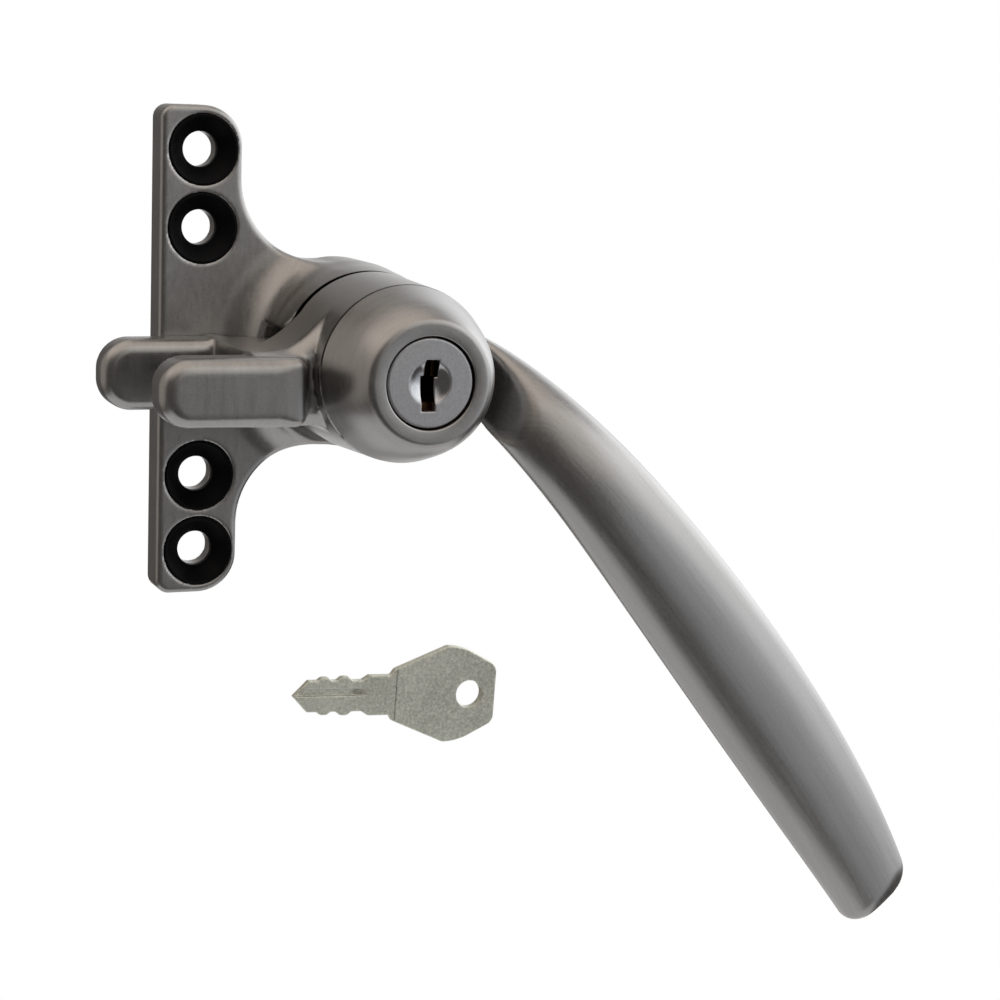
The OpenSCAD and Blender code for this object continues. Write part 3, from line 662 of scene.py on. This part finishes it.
class Recipe:
    """The nodes of one material, or of the world."""

    def __init__(self, name, block=None):
        self.material = block or bpy.data.materials.new(name)
        self.material.use_nodes = True
        self.tree = self.material.node_tree
        self.tree.nodes.clear()

    def add(self, kind, settings=None, inputs=None, output=0):
        """A node with its settings made first and then its sockets set or linked."""
        node = self.tree.nodes.new(kind)
        for key, value in (settings or {}).items():
            setattr(node, key, value)
        for key, value in (inputs or {}).items():
            if isinstance(value, Wire):
                self.tree.links.new(value.socket, node.inputs[key])
            else:
                node.inputs[key].default_value = value
        return Wire(self, node.outputs[output])

    def finish(self, **values):
        """The surface: a Principled shader with these inputs, its names written with underscores."""
        inputs = {key.replace("_", " "): value for key, value in values.items()}
        self.add_output(self.add("ShaderNodeBsdfPrincipled", None, inputs))
        return self.material

    def add_output(self, shader, kind="ShaderNodeOutputMaterial"):
        """The node that the shader ends in."""
        node = self.tree.nodes.new(kind)
        self.tree.links.new(shader.socket, node.inputs["Surface"])

    def place(self):
        """Where a point lies in the frame, in metres."""
        return self.add("ShaderNodeTexCoord", None, None, "Object")

    def noise(self, where, stretch, scale, detail=2.0, roughness=0.5):
        """Noise over a place that is first stretched along its axes."""
        moved = self.add("ShaderNodeMapping", None, {"Vector": where, "Scale": stretch})
        return self.add("ShaderNodeTexNoise", None,
                        {"Vector": moved, "Scale": scale, "Detail": detail, "Roughness": roughness})

    def spread(self, value, low, high, to_low, to_high):
        """A value carried from one range to another and held at its ends."""
        return self.add("ShaderNodeMapRange", None, {"Value": value, "From Min": low, "From Max": high,
                                                      "To Min": to_low, "To Max": to_high})

    def mix(self, share, first, second):
        """A colour between two colours."""
        return self.add("ShaderNodeMix", {"data_type": "RGBA"}, {0: share, 6: first, 7: second}, 2)

    def bump(self, height, distance, strength):
        """A surface direction from a height; the distance is in metres."""
        return self.add("ShaderNodeBump", None,
                        {"Height": height, "Distance": distance, "Strength": strength})


def colour(red, green, blue):
    """A full colour from three shares of light."""
    return (red, green, blue, 1.0)


def between_depths(r, back, front):
    """From 0 at one d to 1 at another, in millimetres as in the front view."""
    depth = r.add("ShaderNodeSeparateXYZ", None, {"Vector": r.place()}, "Y") + PLATE_BACK * MM
    return r.spread(depth, -back * MM, -front * MM, 0.0, 1.0)


def satin_nickel(name, stretch, own_grain=False, painted_seam_shadow=False):
    """Satin nickel plating: long fine brush marks, faint blotches, and a slightly warm cast.

    The brush marks follow the frame's axes, or the piece's own grain. With the last switch on, the end of the
    collar, in the seam behind the turning ring, is painted near-black: a painted shadow for the shade in that
    gap.
    """
    r = Recipe(name)
    if own_grain:
        where = r.add("ShaderNodeAttribute", {"attribute_name": "grain"}, None, "Vector")
        unit = 1.0
    else:
        where = r.place()
        unit = 1000.0
    fine = r.noise(where, tuple(s * unit for s in stretch), 1.0, 3.0, 0.6)
    wide = r.noise(where, tuple(s * unit * 0.25 for s in stretch), 1.0, 2.0)
    cloud = r.noise(r.place(), (1, 1, 1), 60.0, 3.0)
    speck = r.noise(r.place(), (1, 1, 1), 2400.0, 2.0)
    dark = colour(0.262, 0.255, 0.248)
    light = colour(0.332, 0.324, 0.316)
    shade = r.spread(fine * 0.35 + cloud * 0.2 + wide * 0.15 + speck * 0.3, 0.35, 0.65, 0.0, 1.0)
    roughness = r.spread(fine * 0.5 + speck * 0.5, 0.3, 0.7, 0.27, 0.37)
    height = fine * 0.5 + speck * 0.5
    base = r.mix(shade, dark, light)
    if painted_seam_shadow:
        # Painted shadow: the collar's front end, inside the seam behind the ring, turns near-black for the
        # shade there.
        end = between_depths(r, COLLAR_FRONT - 0.3, COLLAR_FRONT - 0.1)
        base = r.mix(end, base, colour(0.008, 0.008, 0.008))
    return r.finish(Base_Color=base, Metallic=1.0, Roughness=roughness, Normal=r.bump(height, 0.00002, 0.6))


def lock_metal():
    """The lock's face: finely blasted grey metal, with a polished dish, and painted shade in the keyway: its
    walls deep behind the face are coloured dark brown.
    """
    r = Recipe("lock_metal")
    over = r.add("ShaderNodeSeparateXYZ", None, {"Vector": r.place()}, "X") - PIVOT_X * MM
    up = r.add("ShaderNodeSeparateXYZ", None, {"Vector": r.place()}, "Z")
    radius = r.add("ShaderNodeMath", {"operation": "SQRT"}, {0: over * over + up * up})
    dish = r.spread(radius, (DISH_RADIUS + 0.05) * MM, (DISH_RADIUS - 0.05) * MM, 0.0, 1.0)
    polish = dish * between_depths(r, FACE_FRONT - 0.1, FACE_FRONT - 0.25)
    # Painted shade: about 1.15 mm and more behind the face, the keyway's walls are coloured dark brown for
    # the shade inside it.
    inner = between_depths(r, FACE_FRONT - 1.15, FACE_FRONT - 1.6)
    grit = r.noise(r.place(), (1, 1, 1), 2600.0, 3.0, 0.7)
    base = r.mix(r.spread(grit, 0.35, 0.65, 0.0, 1.0), colour(0.33, 0.33, 0.335), colour(0.395, 0.395, 0.405))
    base = r.mix(inner, base, colour(0.10, 0.055, 0.035))
    rough = r.spread(polish, 0.0, 1.0, 0.42, 0.16)
    return r.finish(Base_Color=base, Metallic=1.0, Roughness=rough,
                    Normal=r.bump(grit * (1 - polish), 0.00003, 0.5))


def cup_plastic():
    """Black moulded cups: deep black with a soft gloss and a slight moulding mottle."""
    r = Recipe("cup_plastic")
    mottle = r.noise(r.place(), (1, 1, 1), 900.0, 3.0)
    base = r.mix(mottle, colour(0.0025, 0.0025, 0.0028), colour(0.0045, 0.0045, 0.005))
    return r.finish(Base_Color=base, Metallic=0.0, Roughness=r.spread(mottle, 0.3, 0.7, 0.34, 0.46),
                    Specular_IOR_Level=0.05, Normal=r.bump(mottle, 0.00003, 0.3))


def key_metal():
    """The key's plated brass: an olive grey with a fine tumbled grain."""
    r = Recipe("key_metal")
    grit = r.noise(r.place(), (1, 1, 1), 1700.0, 4.0, 0.75)
    cloud = r.noise(r.place(), (1, 1, 1), 120.0, 2.0)
    shade = r.spread(grit * 0.8 + cloud * 0.2, 0.36, 0.64, 0.0, 1.0)
    base = r.mix(shade, colour(0.41, 0.415, 0.355), colour(0.75, 0.755, 0.665))
    return r.finish(Base_Color=base, Metallic=0.85, Roughness=r.spread(grit, 0.3, 0.7, 0.42, 0.56),
                    Normal=r.bump(grit, 0.00006, 0.6))


def plain_metal(name, dark, light, rough):
    """Turned inner metal: rings of fine tool marks round the pivot, and faint stains."""
    r = Recipe(name)
    marks = r.noise(r.place(), (0.15, 4.0, 0.15), 2200.0, 2.0)
    stain = r.noise(r.place(), (1, 1, 1), 240.0, 3.0)
    shade = r.spread(marks * 0.5 + stain * 0.5, 0.35, 0.65, 0.0, 1.0)
    return r.finish(Base_Color=r.mix(shade, dark, light), Metallic=1.0,
                    Roughness=r.spread(marks, 0.3, 0.7, rough - 0.06, rough + 0.08),
                    Normal=r.bump(marks, 0.00003, 0.4))


def acetal_plastic():
    """Washers: milky plastic with a faint flow pattern."""
    r = Recipe("acetal_plastic")
    flow = r.noise(r.place(), (1, 1, 1), 300.0, 3.0)
    base = r.mix(flow, colour(0.72, 0.72, 0.68), colour(0.82, 0.82, 0.78))
    return r.finish(Base_Color=base, Metallic=0.0, Roughness=r.spread(flow, 0.3, 0.7, 0.38, 0.5),
                    Normal=r.bump(flow, 0.00004, 0.3))


def dome_profile():
    """Dome from its back edge to the lip: a steady taper, a shoulder in a high power, a round edge."""
    edge_in, edge_deep = DOME_BACK_EDGE
    share = np.linspace((SEAM_FRONT + edge_deep - DOME_BACK) / DOME_LENGTH, FLANK_SHARE, 40)
    radius = RING_RADIUS - DOME_TAPER * share - DOME_SHOULDER * share ** SHOULDER_POWER
    steep = DOME_TAPER + SHOULDER_POWER * DOME_SHOULDER * FLANK_SHARE ** (SHOULDER_POWER - 1)
    lean = math.atan(steep / DOME_LENGTH)
    edge = (1 - FLANK_SHARE) * DOME_LENGTH / (1 - math.sin(lean))
    lip = radius[-1] - edge * math.cos(lean)
    turn = np.linspace(lean, math.pi / 2, 12)[1:]
    outside = [(SEAM_FLOOR, DOME_BACK), (SEAM_FLOOR, SEAM_FRONT), (radius[0] - edge_in, SEAM_FRONT)]
    outside += list(zip(radius, DOME_BACK + share * DOME_LENGTH))
    outside += list(zip(lip + edge * np.cos(turn), DOME_BACK + DOME_LENGTH - edge * (1 - np.sin(turn))))
    return outside


def with_pin_hole(faces, first):
    """The dome's faces with a hole through its floor at angle 0, where the lock's pin goes in.

    Rows first and first + 4 are the floor's front and back between the hole's two radii.
    """
    front, back = faces[first], faces[first + 4]
    hole = np.r_[-PIN_HOLE_SIDES:PIN_HOLE_SIDES]
    outer = np.stack((front[hole, 0], front[hole, 1], back[hole, 2], back[hole, 3]), axis=1)
    inner = np.stack((back[hole, 0], back[hole, 1], front[hole, 2], front[hole, 3]), axis=1)
    start, end = hole[0], hole[-1]
    sides = np.array([(front[start, 0], back[start, 3], back[start, 0], front[start, 3]),
                      (front[end, 1], front[end, 2], back[end, 1], back[end, 2])])
    keep = np.ones(faces.shape[:2], dtype=bool)
    keep[first, hole] = keep[first + 4, hole] = False
    return np.concatenate((faces[keep], outer, inner, sides))


def make_dome(metal):
    """Dome: one lathed shell, over the front, down the barrel's bore and through its floor."""
    front = DOME_BACK + DOME_LENGTH
    mouth = [(DOME_BORE + DOME_LIP * (1 - math.sin(a)), front - DOME_LIP * (1 - math.cos(a)))
             for a in np.linspace(0, math.pi / 2, 5)]
    near, far = PIN_HOLE
    inside = [(DOME_BORE, DOME_FLOOR_FRONT), (far, DOME_FLOOR_FRONT), (near, DOME_FLOOR_FRONT),
              (DOME_EYE, DOME_FLOOR_FRONT), (DOME_EYE, DOME_FLOOR_BACK), (near, DOME_FLOOR_BACK),
              (far, DOME_FLOOR_BACK), (DOME_NECK, DOME_FLOOR_BACK), (DOME_NECK, DOME_BACK)]
    profile = dome_profile() + mouth + inside
    points, faces = lathe(profile, DOME_SIDES)
    faces = with_pin_hole(faces.reshape(len(profile), DOME_SIDES, 4), len(profile) - len(inside) + 1)
    angle = np.arctan2(points[:, 1], points[:, 0])
    grain = np.stack((angle * DOME_GRAIN_RADIUS, points[:, 2], np.hypot(points[:, 0], points[:, 1])), axis=1)
    piece("dome_shell", points, faces, metal, "base", ("lock_dome",), sharp=50, grain=grain)


def make_plate(metal):
    """Face plate and collar, with the collar's front edge kept crisp up to the opening's corners."""
    points, faces = surface(plate_field, *PLATE_GRID)
    clear = wedge_field(points[:, 0], points[:, 1], OPENING_START, OPENING_END) > COLLAR_CORNER
    snap(points, COLLAR_RIM, COLLAR_FRONT, clear)
    piece("plate_casting", points, faces, metal, "base", ("base_plate",), sharp=50)


def make_lever(metal):
    """Lever casting, brushed along the arm and up and down on the hub and nose."""
    points, faces = surface(lever_field, *LEVER_GRID)
    snap(points, COLLAR_RIM, RING_BACK, True)
    snap(points, RING_RADIUS, RING_FRONT, points[:, 1] > CHAMFER_TOP)
    _, along, side = arm_coordinates(points[:, 0], points[:, 1])
    on_arm = np.clip((along - ARM_GRAIN_START) / ARM_GRAIN_FADE, 0, 1)[:, None]
    arm_grain = np.stack((along, side, points[:, 2]), axis=1)
    across, over = NOSE_GRAIN
    nose_grain = np.stack((points[:, 1] * across, points[:, 0] * over, points[:, 2]), axis=1)
    grain = nose_grain * (1 - on_arm) + arm_grain * on_arm
    piece("lever", points, faces, metal, "lever", ("lever_casting",), sharp=50, grain=grain)


def make_cups(plastic):
    """Each cup: a cone down to the bore, with a rounded lip and a small inner shoulder."""
    profile = rounded(CUP_PROFILE)
    for number, height in enumerate(HOLE_HEIGHTS, 1):
        points, faces = lathe(profile, CUP_SIDES, (HOLE_X, height))
        piece("cup_%d" % number, points, faces, plastic, "base", ("screw_cup_%d" % number,),
              sharp=40)


def keyway_field(x, y):
    """The keyway: an upper slot set to the right and a lower one set to the left, which overlap."""
    half = KEYWAY_WIDTH / 2
    tall = KEYWAY_HEIGHT / 2
    upper = np.maximum(np.abs(x - UPPER_SLOT_X) - half, between(y, UPPER_SLOT_FOOT, tall))
    lower = np.maximum(np.abs(x - LOWER_SLOT_X) - half, between(y, -tall - LOWER_SLOT_PAST, LOWER_SLOT_HEAD))
    return np.minimum(upper, lower)


def plug_field(x, y, d):
    """Key plug: a thin round head with a dish, its body, and the keyway through both."""
    radius = np.hypot(x, y)
    head = round_common(radius - BARREL_RADIUS, between(d, HEAD_BACK, FACE_FRONT), HEAD_EDGE)
    shank = np.maximum(radius - PLUG_RADIUS, between(d, PLUG_BACK, HEAD_BACK + SHANK_OVERLAP))
    body = np.minimum(head, shank)
    dish = np.sqrt(radius ** 2 + (d - FACE_FRONT - DISH_BALL + DISH_DEPTH) ** 2) - DISH_BALL
    body = round_cut(body, dish, DISH_EDGE)
    key_slot = np.maximum(keyway_field(x, y + KEYWAY_DROP), PLUG_BACK + KEYWAY_FLOOR - d)
    return round_cut(body, key_slot, KEYWAY_EDGE)


def make_plug(metal):
    """The lock's round face with the plug's body behind it."""
    points, faces = surface(plug_field, *PLUG_GRID)
    piece("lock_face", points, faces, metal, "plug", ("key_plug",))


def slant_field(x, side, slant):
    """A slanting side of the key, with its offset at x = 0."""
    offset, slope, length = slant
    return (side - offset - x * slope) / length


def key_field(x, y, d):
    """The key: a notched blade with a groove, a collar step, and a six-sided bow with a round hole."""
    turn = math.radians(KEY_TILT)
    over, up = x - KEY_TIP[0], y - KEY_TIP[1]
    x, y = over * math.cos(turn) + up * math.sin(turn), up * math.cos(turn) - over * math.sin(turn)
    half = BLADE_HEIGHT / 2
    tall = BOW_HEIGHT / 2
    side = np.abs(y)
    notch = BLADE_CUT * np.clip((BLADE_CUT_END - x) / BLADE_CUT_FADE, 0, 1)
    for place, half_width, height in KEY_TEETH:
        notch = notch - height * np.exp(-((x - place) / half_width) ** 4)
    blade = np.maximum(side - half + notch, x - BLADE_LENGTH - BLADE_OVERLAP)
    blade = np.maximum(blade, slant_field(x, side, TIP_SLANT))
    start = BLADE_LENGTH - BOW_OVERLAP
    end = BLADE_LENGTH + BOW_LENGTH
    bow = np.maximum(side - tall, between(x, start, end))
    for slant in BOW_SLANTS:
        bow = np.maximum(bow, slant_field(x - start, side - half, slant))
    bow = round_common(bow, slant_field(x - end + END_SLANT_REACH, side - tall, END_SLANT), BOW_EDGE)
    flat = round_join(blade, bow, KEY_JOIN)
    from_hole = np.hypot(x - BLADE_LENGTH - BOW_LENGTH * KEY_HOLE_SHARE, y)
    flat = round_cut(flat, from_hole - KEY_HOLE, KEY_HOLE_EDGE)
    thin = np.where(x < BLADE_LENGTH + COLLAR_STEP, BLADE_THIN, 0.0)
    key = round_common(flat, between(d, 0.0, KEY_THICK - thin), KEY_EDGE)
    floor = KEY_THICK - GROOVE_DEPTH + GROOVE_SLOPE * np.maximum(x - GROOVE_FADE, 0)
    groove = np.maximum(between(y, *GROOVE_SPAN), np.maximum(floor - d, x - GROOVE_END))
    return round_cut(key, groove, GROOVE_EDGE)


def make_key(metal):
    """The loose key, which lies on the wall."""
    points, faces = surface(key_field, *KEY_GRID)
    points[:, 2] -= PLATE_BACK
    piece("handle_key", points, faces, metal, "loose_key", ("key",))


def make_spring(steel):
    """Return spring: a coil from the dome's floor to the barrel at rest, riding on the cylinder's body; the
    coil itself keeps its length and does not close up as the lock goes in.
    """
    share = np.linspace(0, 1, COIL_STEPS * COIL_TURNS + 1)[:, None]
    turn = share * COIL_TURNS * 2 * np.pi
    ring = np.arange(WIRE_SIDES) * 2 * np.pi / WIRE_SIDES
    reach = COIL_RADIUS + COIL_WIRE * np.cos(ring)
    low = DOME_FLOOR_FRONT + COIL_GAP + COIL_WIRE
    high = BARREL_BACK - COIL_GAP - COIL_WIRE
    points = np.stack((reach * np.cos(turn), reach * np.sin(turn),
                       low + (high - low) * share + COIL_WIRE * np.sin(ring)), axis=2).reshape(-1, 3)
    rows = np.arange(len(points)).reshape(len(share), WIRE_SIDES)
    next_rows = np.roll(rows, -1, axis=1)
    quads = np.stack((rows[:-1], rows[1:], next_rows[1:], next_rows[:-1]), axis=2).reshape(-1, 4)
    faces = quads.tolist() + [rows[0].tolist(), rows[-1][::-1].tolist()]
    spring = piece("return_coil", points, faces, steel, "cylinder", ("return_spring",), sharp=60)
    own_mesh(spring)


def dress_inner_pieces(steel):
    """The inner pieces keep their solids and get a finish each."""
    brass = plain_metal("machined_brass", colour(0.5, 0.35, 0.13), colour(0.66, 0.5, 0.22), 0.32)
    # Painted shade: the wafers, deep in the keyway, get a dark brown brass that stands for the shade they lie
    # in.
    shaded_brass = plain_metal("wafer_shade_brass", colour(0.10, 0.055, 0.03), colour(0.18, 0.10, 0.055), 0.4)
    bronze = plain_metal("sintered_bronze", colour(0.36, 0.2, 0.08), colour(0.48, 0.3, 0.13), 0.45)
    acetal = acetal_plastic()
    for finish, names in (
            (steel, ("pivot_spindle", "spindle_screw", "wave_washer", "barrel_stop_pin", "lock_pin",
                     "wafer_springs", "plug_clip")),
            (brass, ("lock_barrel",)),
            (shaded_brass, ("wafer_1", "wafer_2", "wafer_3", "wafer_4", "wafer_5")),
            (bronze, ("hub_bush",)),
            (acetal, ("rear_washer", "front_washer"))):
        for name in names:
            node = bpy.data.objects[name]
            node.data.materials.clear()
            node.data.materials.append(finish)


def toward(azimuth, elevation):
    """A direction from the handle: azimuth 0 is straight out from the wall and 90 is to the right."""
    turn, lift = math.radians(azimuth), math.radians(elevation)
    return Vector((math.sin(turn) * math.cos(lift), -math.cos(turn) * math.cos(lift), math.sin(lift)))


def backdrop_material(name):
    """White to the camera and in reflections, plain pale paint to all other light."""
    r = Recipe(name)
    path = r.tree.nodes.new("ShaderNodeLightPath")
    seen = r.add("ShaderNodeMath", {"operation": "ADD", "use_clamp": True},
                 {0: Wire(r, path.outputs["Is Camera Ray"]), 1: Wire(r, path.outputs["Is Transmission Ray"])})
    seen = r.add("ShaderNodeMath", {"operation": "ADD", "use_clamp": True},
                 {0: seen, 1: Wire(r, path.outputs["Is Glossy Ray"])})
    paint = r.add("ShaderNodeBsdfDiffuse", None, {"Color": colour(STAGE_TONE, STAGE_TONE, STAGE_TONE)})
    white = r.add("ShaderNodeEmission", None, {"Color": colour(1, 1, 1), "Strength": 1.0})
    r.add_output(r.add("ShaderNodeMixShader", None, {0: seen, 1: paint, 2: white}))
    return r.material


# The stage, in metres
FLOOR_DROP = 0.30
FLOOR_HALF = 0.42
BACKDROP_AWAY = 0.9
BACKDROP_HALF = 0.36
STAGE_TONE = 0.8


def stage():
    """A pale floor below the handle, which hangs on a wall, and a backdrop square to the camera."""
    level = cad_box[0][2] - FLOOR_DROP
    floor = [(x, y, level) for x, y in square_corners(FLOOR_HALF)]
    eye = bpy.context.scene.camera.matrix_world
    away = -BACKDROP_AWAY - CAMERA_DISTANCE * MM
    backdrop = [eye @ Vector((x, y, away)) for x, y in square_corners(BACKDROP_HALF)]
    for name, points in (("floor", floor), ("backdrop", backdrop)):
        mesh = bpy.data.meshes.new(name)
        mesh.from_pydata(points, [], [(0, 1, 2, 3)])
        mesh.materials.append(backdrop_material(name + "_paint"))
        thing = bpy.data.objects.new(name, mesh)
        bpy.context.scene.collection.objects.link(thing)


def square_corners(half):
    """Corners of a square round the origin."""
    return ((-half, -half), (half, -half), (half, half), (-half, half))


# The studio's soft lights light by the world, so they have no hard edges. Each has its azimuth and
# elevation, the angles from there within which it is full and has faded out, the elevations between
# which it rises from nothing at its foot and falls to nothing at its head, and its colour.
DIM = (0.132, 0.125, 0.119)
SOFT_LIGHTS = (
    (98, 16, 32, 70, (-20, 2), (32, 61), (1.40, 1.45, 1.51)),
    (30, 26, 15, 42, (-6, 10), (40, 70), (0.96, 0.94, 0.90)),
    (42, -12, 8, 29, (-60, -40), (0, 20), (0.62, 0.65, 0.70)),
    (-60, 70, 20, 60, (10, 44), (90, 91), (1.10, 0.98, 0.88)),
    (-108, 10, 24, 50, (-60, -20), (50, 80), (0.46, 0.42, 0.385)),
    (135, 30, 26, 62, (-20, -2), (64, 88), (0.33, 0.325, 0.32)),
    (0, -90, 60, 88, (-91, -90), (-12, 0), (0.17, 0.16, 0.15)),
)


def band(r, value, start, end):
    """How far a value, the sine of an elevation, is from one elevation's sine to another's."""
    return r.add("ShaderNodeMapRange", {"interpolation_type": "SMOOTHSTEP"},
                 {"Value": value, "From Min": math.sin(math.radians(start)),
                  "From Max": math.sin(math.radians(end))})


def sky():
    """The world: dim all round, with the soft lights added."""
    world = bpy.data.worlds.new("studio")
    bpy.context.scene.world = world
    r = Recipe("studio", world)
    way = r.add("ShaderNodeTexCoord", None, None, "Generated")
    height = r.add("ShaderNodeSeparateXYZ", None, {"Vector": way}, "Z")
    total = DIM
    for azimuth, elevation, full, faded, foot, head, hue in SOFT_LIGHTS:
        near = r.add("ShaderNodeVectorMath", {"operation": "DOT_PRODUCT"},
                     {0: way, 1: toward(azimuth, elevation)}, "Value")
        share = band(r, near, 90 - faded, 90 - full) * band(r, height, *foot)
        if head[0] < 90:
            share = share * (1 - band(r, height, *head))
        total = r.add("ShaderNodeVectorMath", {"operation": "MULTIPLY_ADD"}, {0: share, 1: hue, 2: total})
    r.add_output(r.add("ShaderNodeBackground", None, {"Color": total}), "ShaderNodeOutputWorld")


# The lamp at the right: its direction, how far off it stands, its sides in metres and its watts
LAMP_WAY = (95, 18)
LAMP_AWAY = 1.0
LAMP_SIDES = (0.8, 0.5)
LAMP_POWER = 1.0


def lamp():
    """One large soft lamp at the right gives the highlights their shape."""
    light = bpy.data.lights.new("lamp_right", "AREA")
    light.shape = "RECTANGLE"
    light.size, light.size_y = LAMP_SIDES
    light.energy = LAMP_POWER
    thing = bpy.data.objects.new("lamp_right", light)
    thing.location = toward(*LAMP_WAY) * LAMP_AWAY
    thing.rotation_euler = (-toward(*LAMP_WAY)).to_track_quat("-Z", "Y").to_euler()
    bpy.context.scene.collection.objects.link(thing)


# The camera as fitted to the picture: its turns, its lens and where the pivot lies in the picture,
# with the picture's side and the lens in pixels, the sensor's width in mm, and the nearest view in m
AZIMUTH = -22.640
ELEVATION = 9.836
ROLL = 2.102
FOCAL_PIXELS = 2400.0
CAMERA_DISTANCE = 453.234
PIVOT_PIXEL = (334.464, 348.565)
PICTURE_SIDE = 1000
SENSOR_WIDTH = 36
NEAREST = 0.01


def camera():
    """The camera, turned about its own line of sight and moved aside so that the pivot lies in its place."""
    roll = math.radians(ROLL)
    back = toward(AZIMUTH, ELEVATION)
    right = Vector((0, 0, 1)).cross(back).normalized()
    up = back.cross(right)
    rolled_right = math.cos(roll) * right + math.sin(roll) * up
    rolled_up = math.cos(roll) * up - math.sin(roll) * right
    per_pixel = CAMERA_DISTANCE / FOCAL_PIXELS
    across = (PIVOT_PIXEL[0] - PICTURE_SIDE / 2) * per_pixel
    over = (PICTURE_SIDE / 2 - PIVOT_PIXEL[1]) * per_pixel
    place = Vector((PIVOT_X, -PLATE_BACK, 0)) - across * rolled_right - over * rolled_up
    place += CAMERA_DISTANCE * back
    data = bpy.data.cameras.new("camera")
    data.sensor_width = SENSOR_WIDTH
    data.lens = FOCAL_PIXELS / PICTURE_SIDE * SENSOR_WIDTH
    data.clip_start = NEAREST
    thing = bpy.data.objects.new("camera", data)
    pose = Matrix((rolled_right, rolled_up, back)).transposed().to_4x4()
    pose.translation = place * MM
    thing.matrix_world = pose
    bpy.context.scene.collection.objects.link(thing)
    bpy.context.scene.camera = thing


camera()
make_plate(satin_nickel("plate_nickel", (1.1, 1.1, 0.35), painted_seam_shadow=True))
make_dome(satin_nickel("dome_nickel", (0.25, 1.6, 0.5), own_grain=True))
make_lever(satin_nickel("lever_nickel", (0.06, 2.2, 0.8), own_grain=True))
make_cups(cup_plastic())
make_plug(lock_metal())
make_key(key_metal())
steel = plain_metal("bright_steel", colour(0.45, 0.46, 0.47), colour(0.6, 0.61, 0.63), 0.3)
make_spring(steel)
dress_inner_pieces(steel)
stage()
sky()
lamp()
bpy.context.scene.view_settings.view_transform = "Standard"
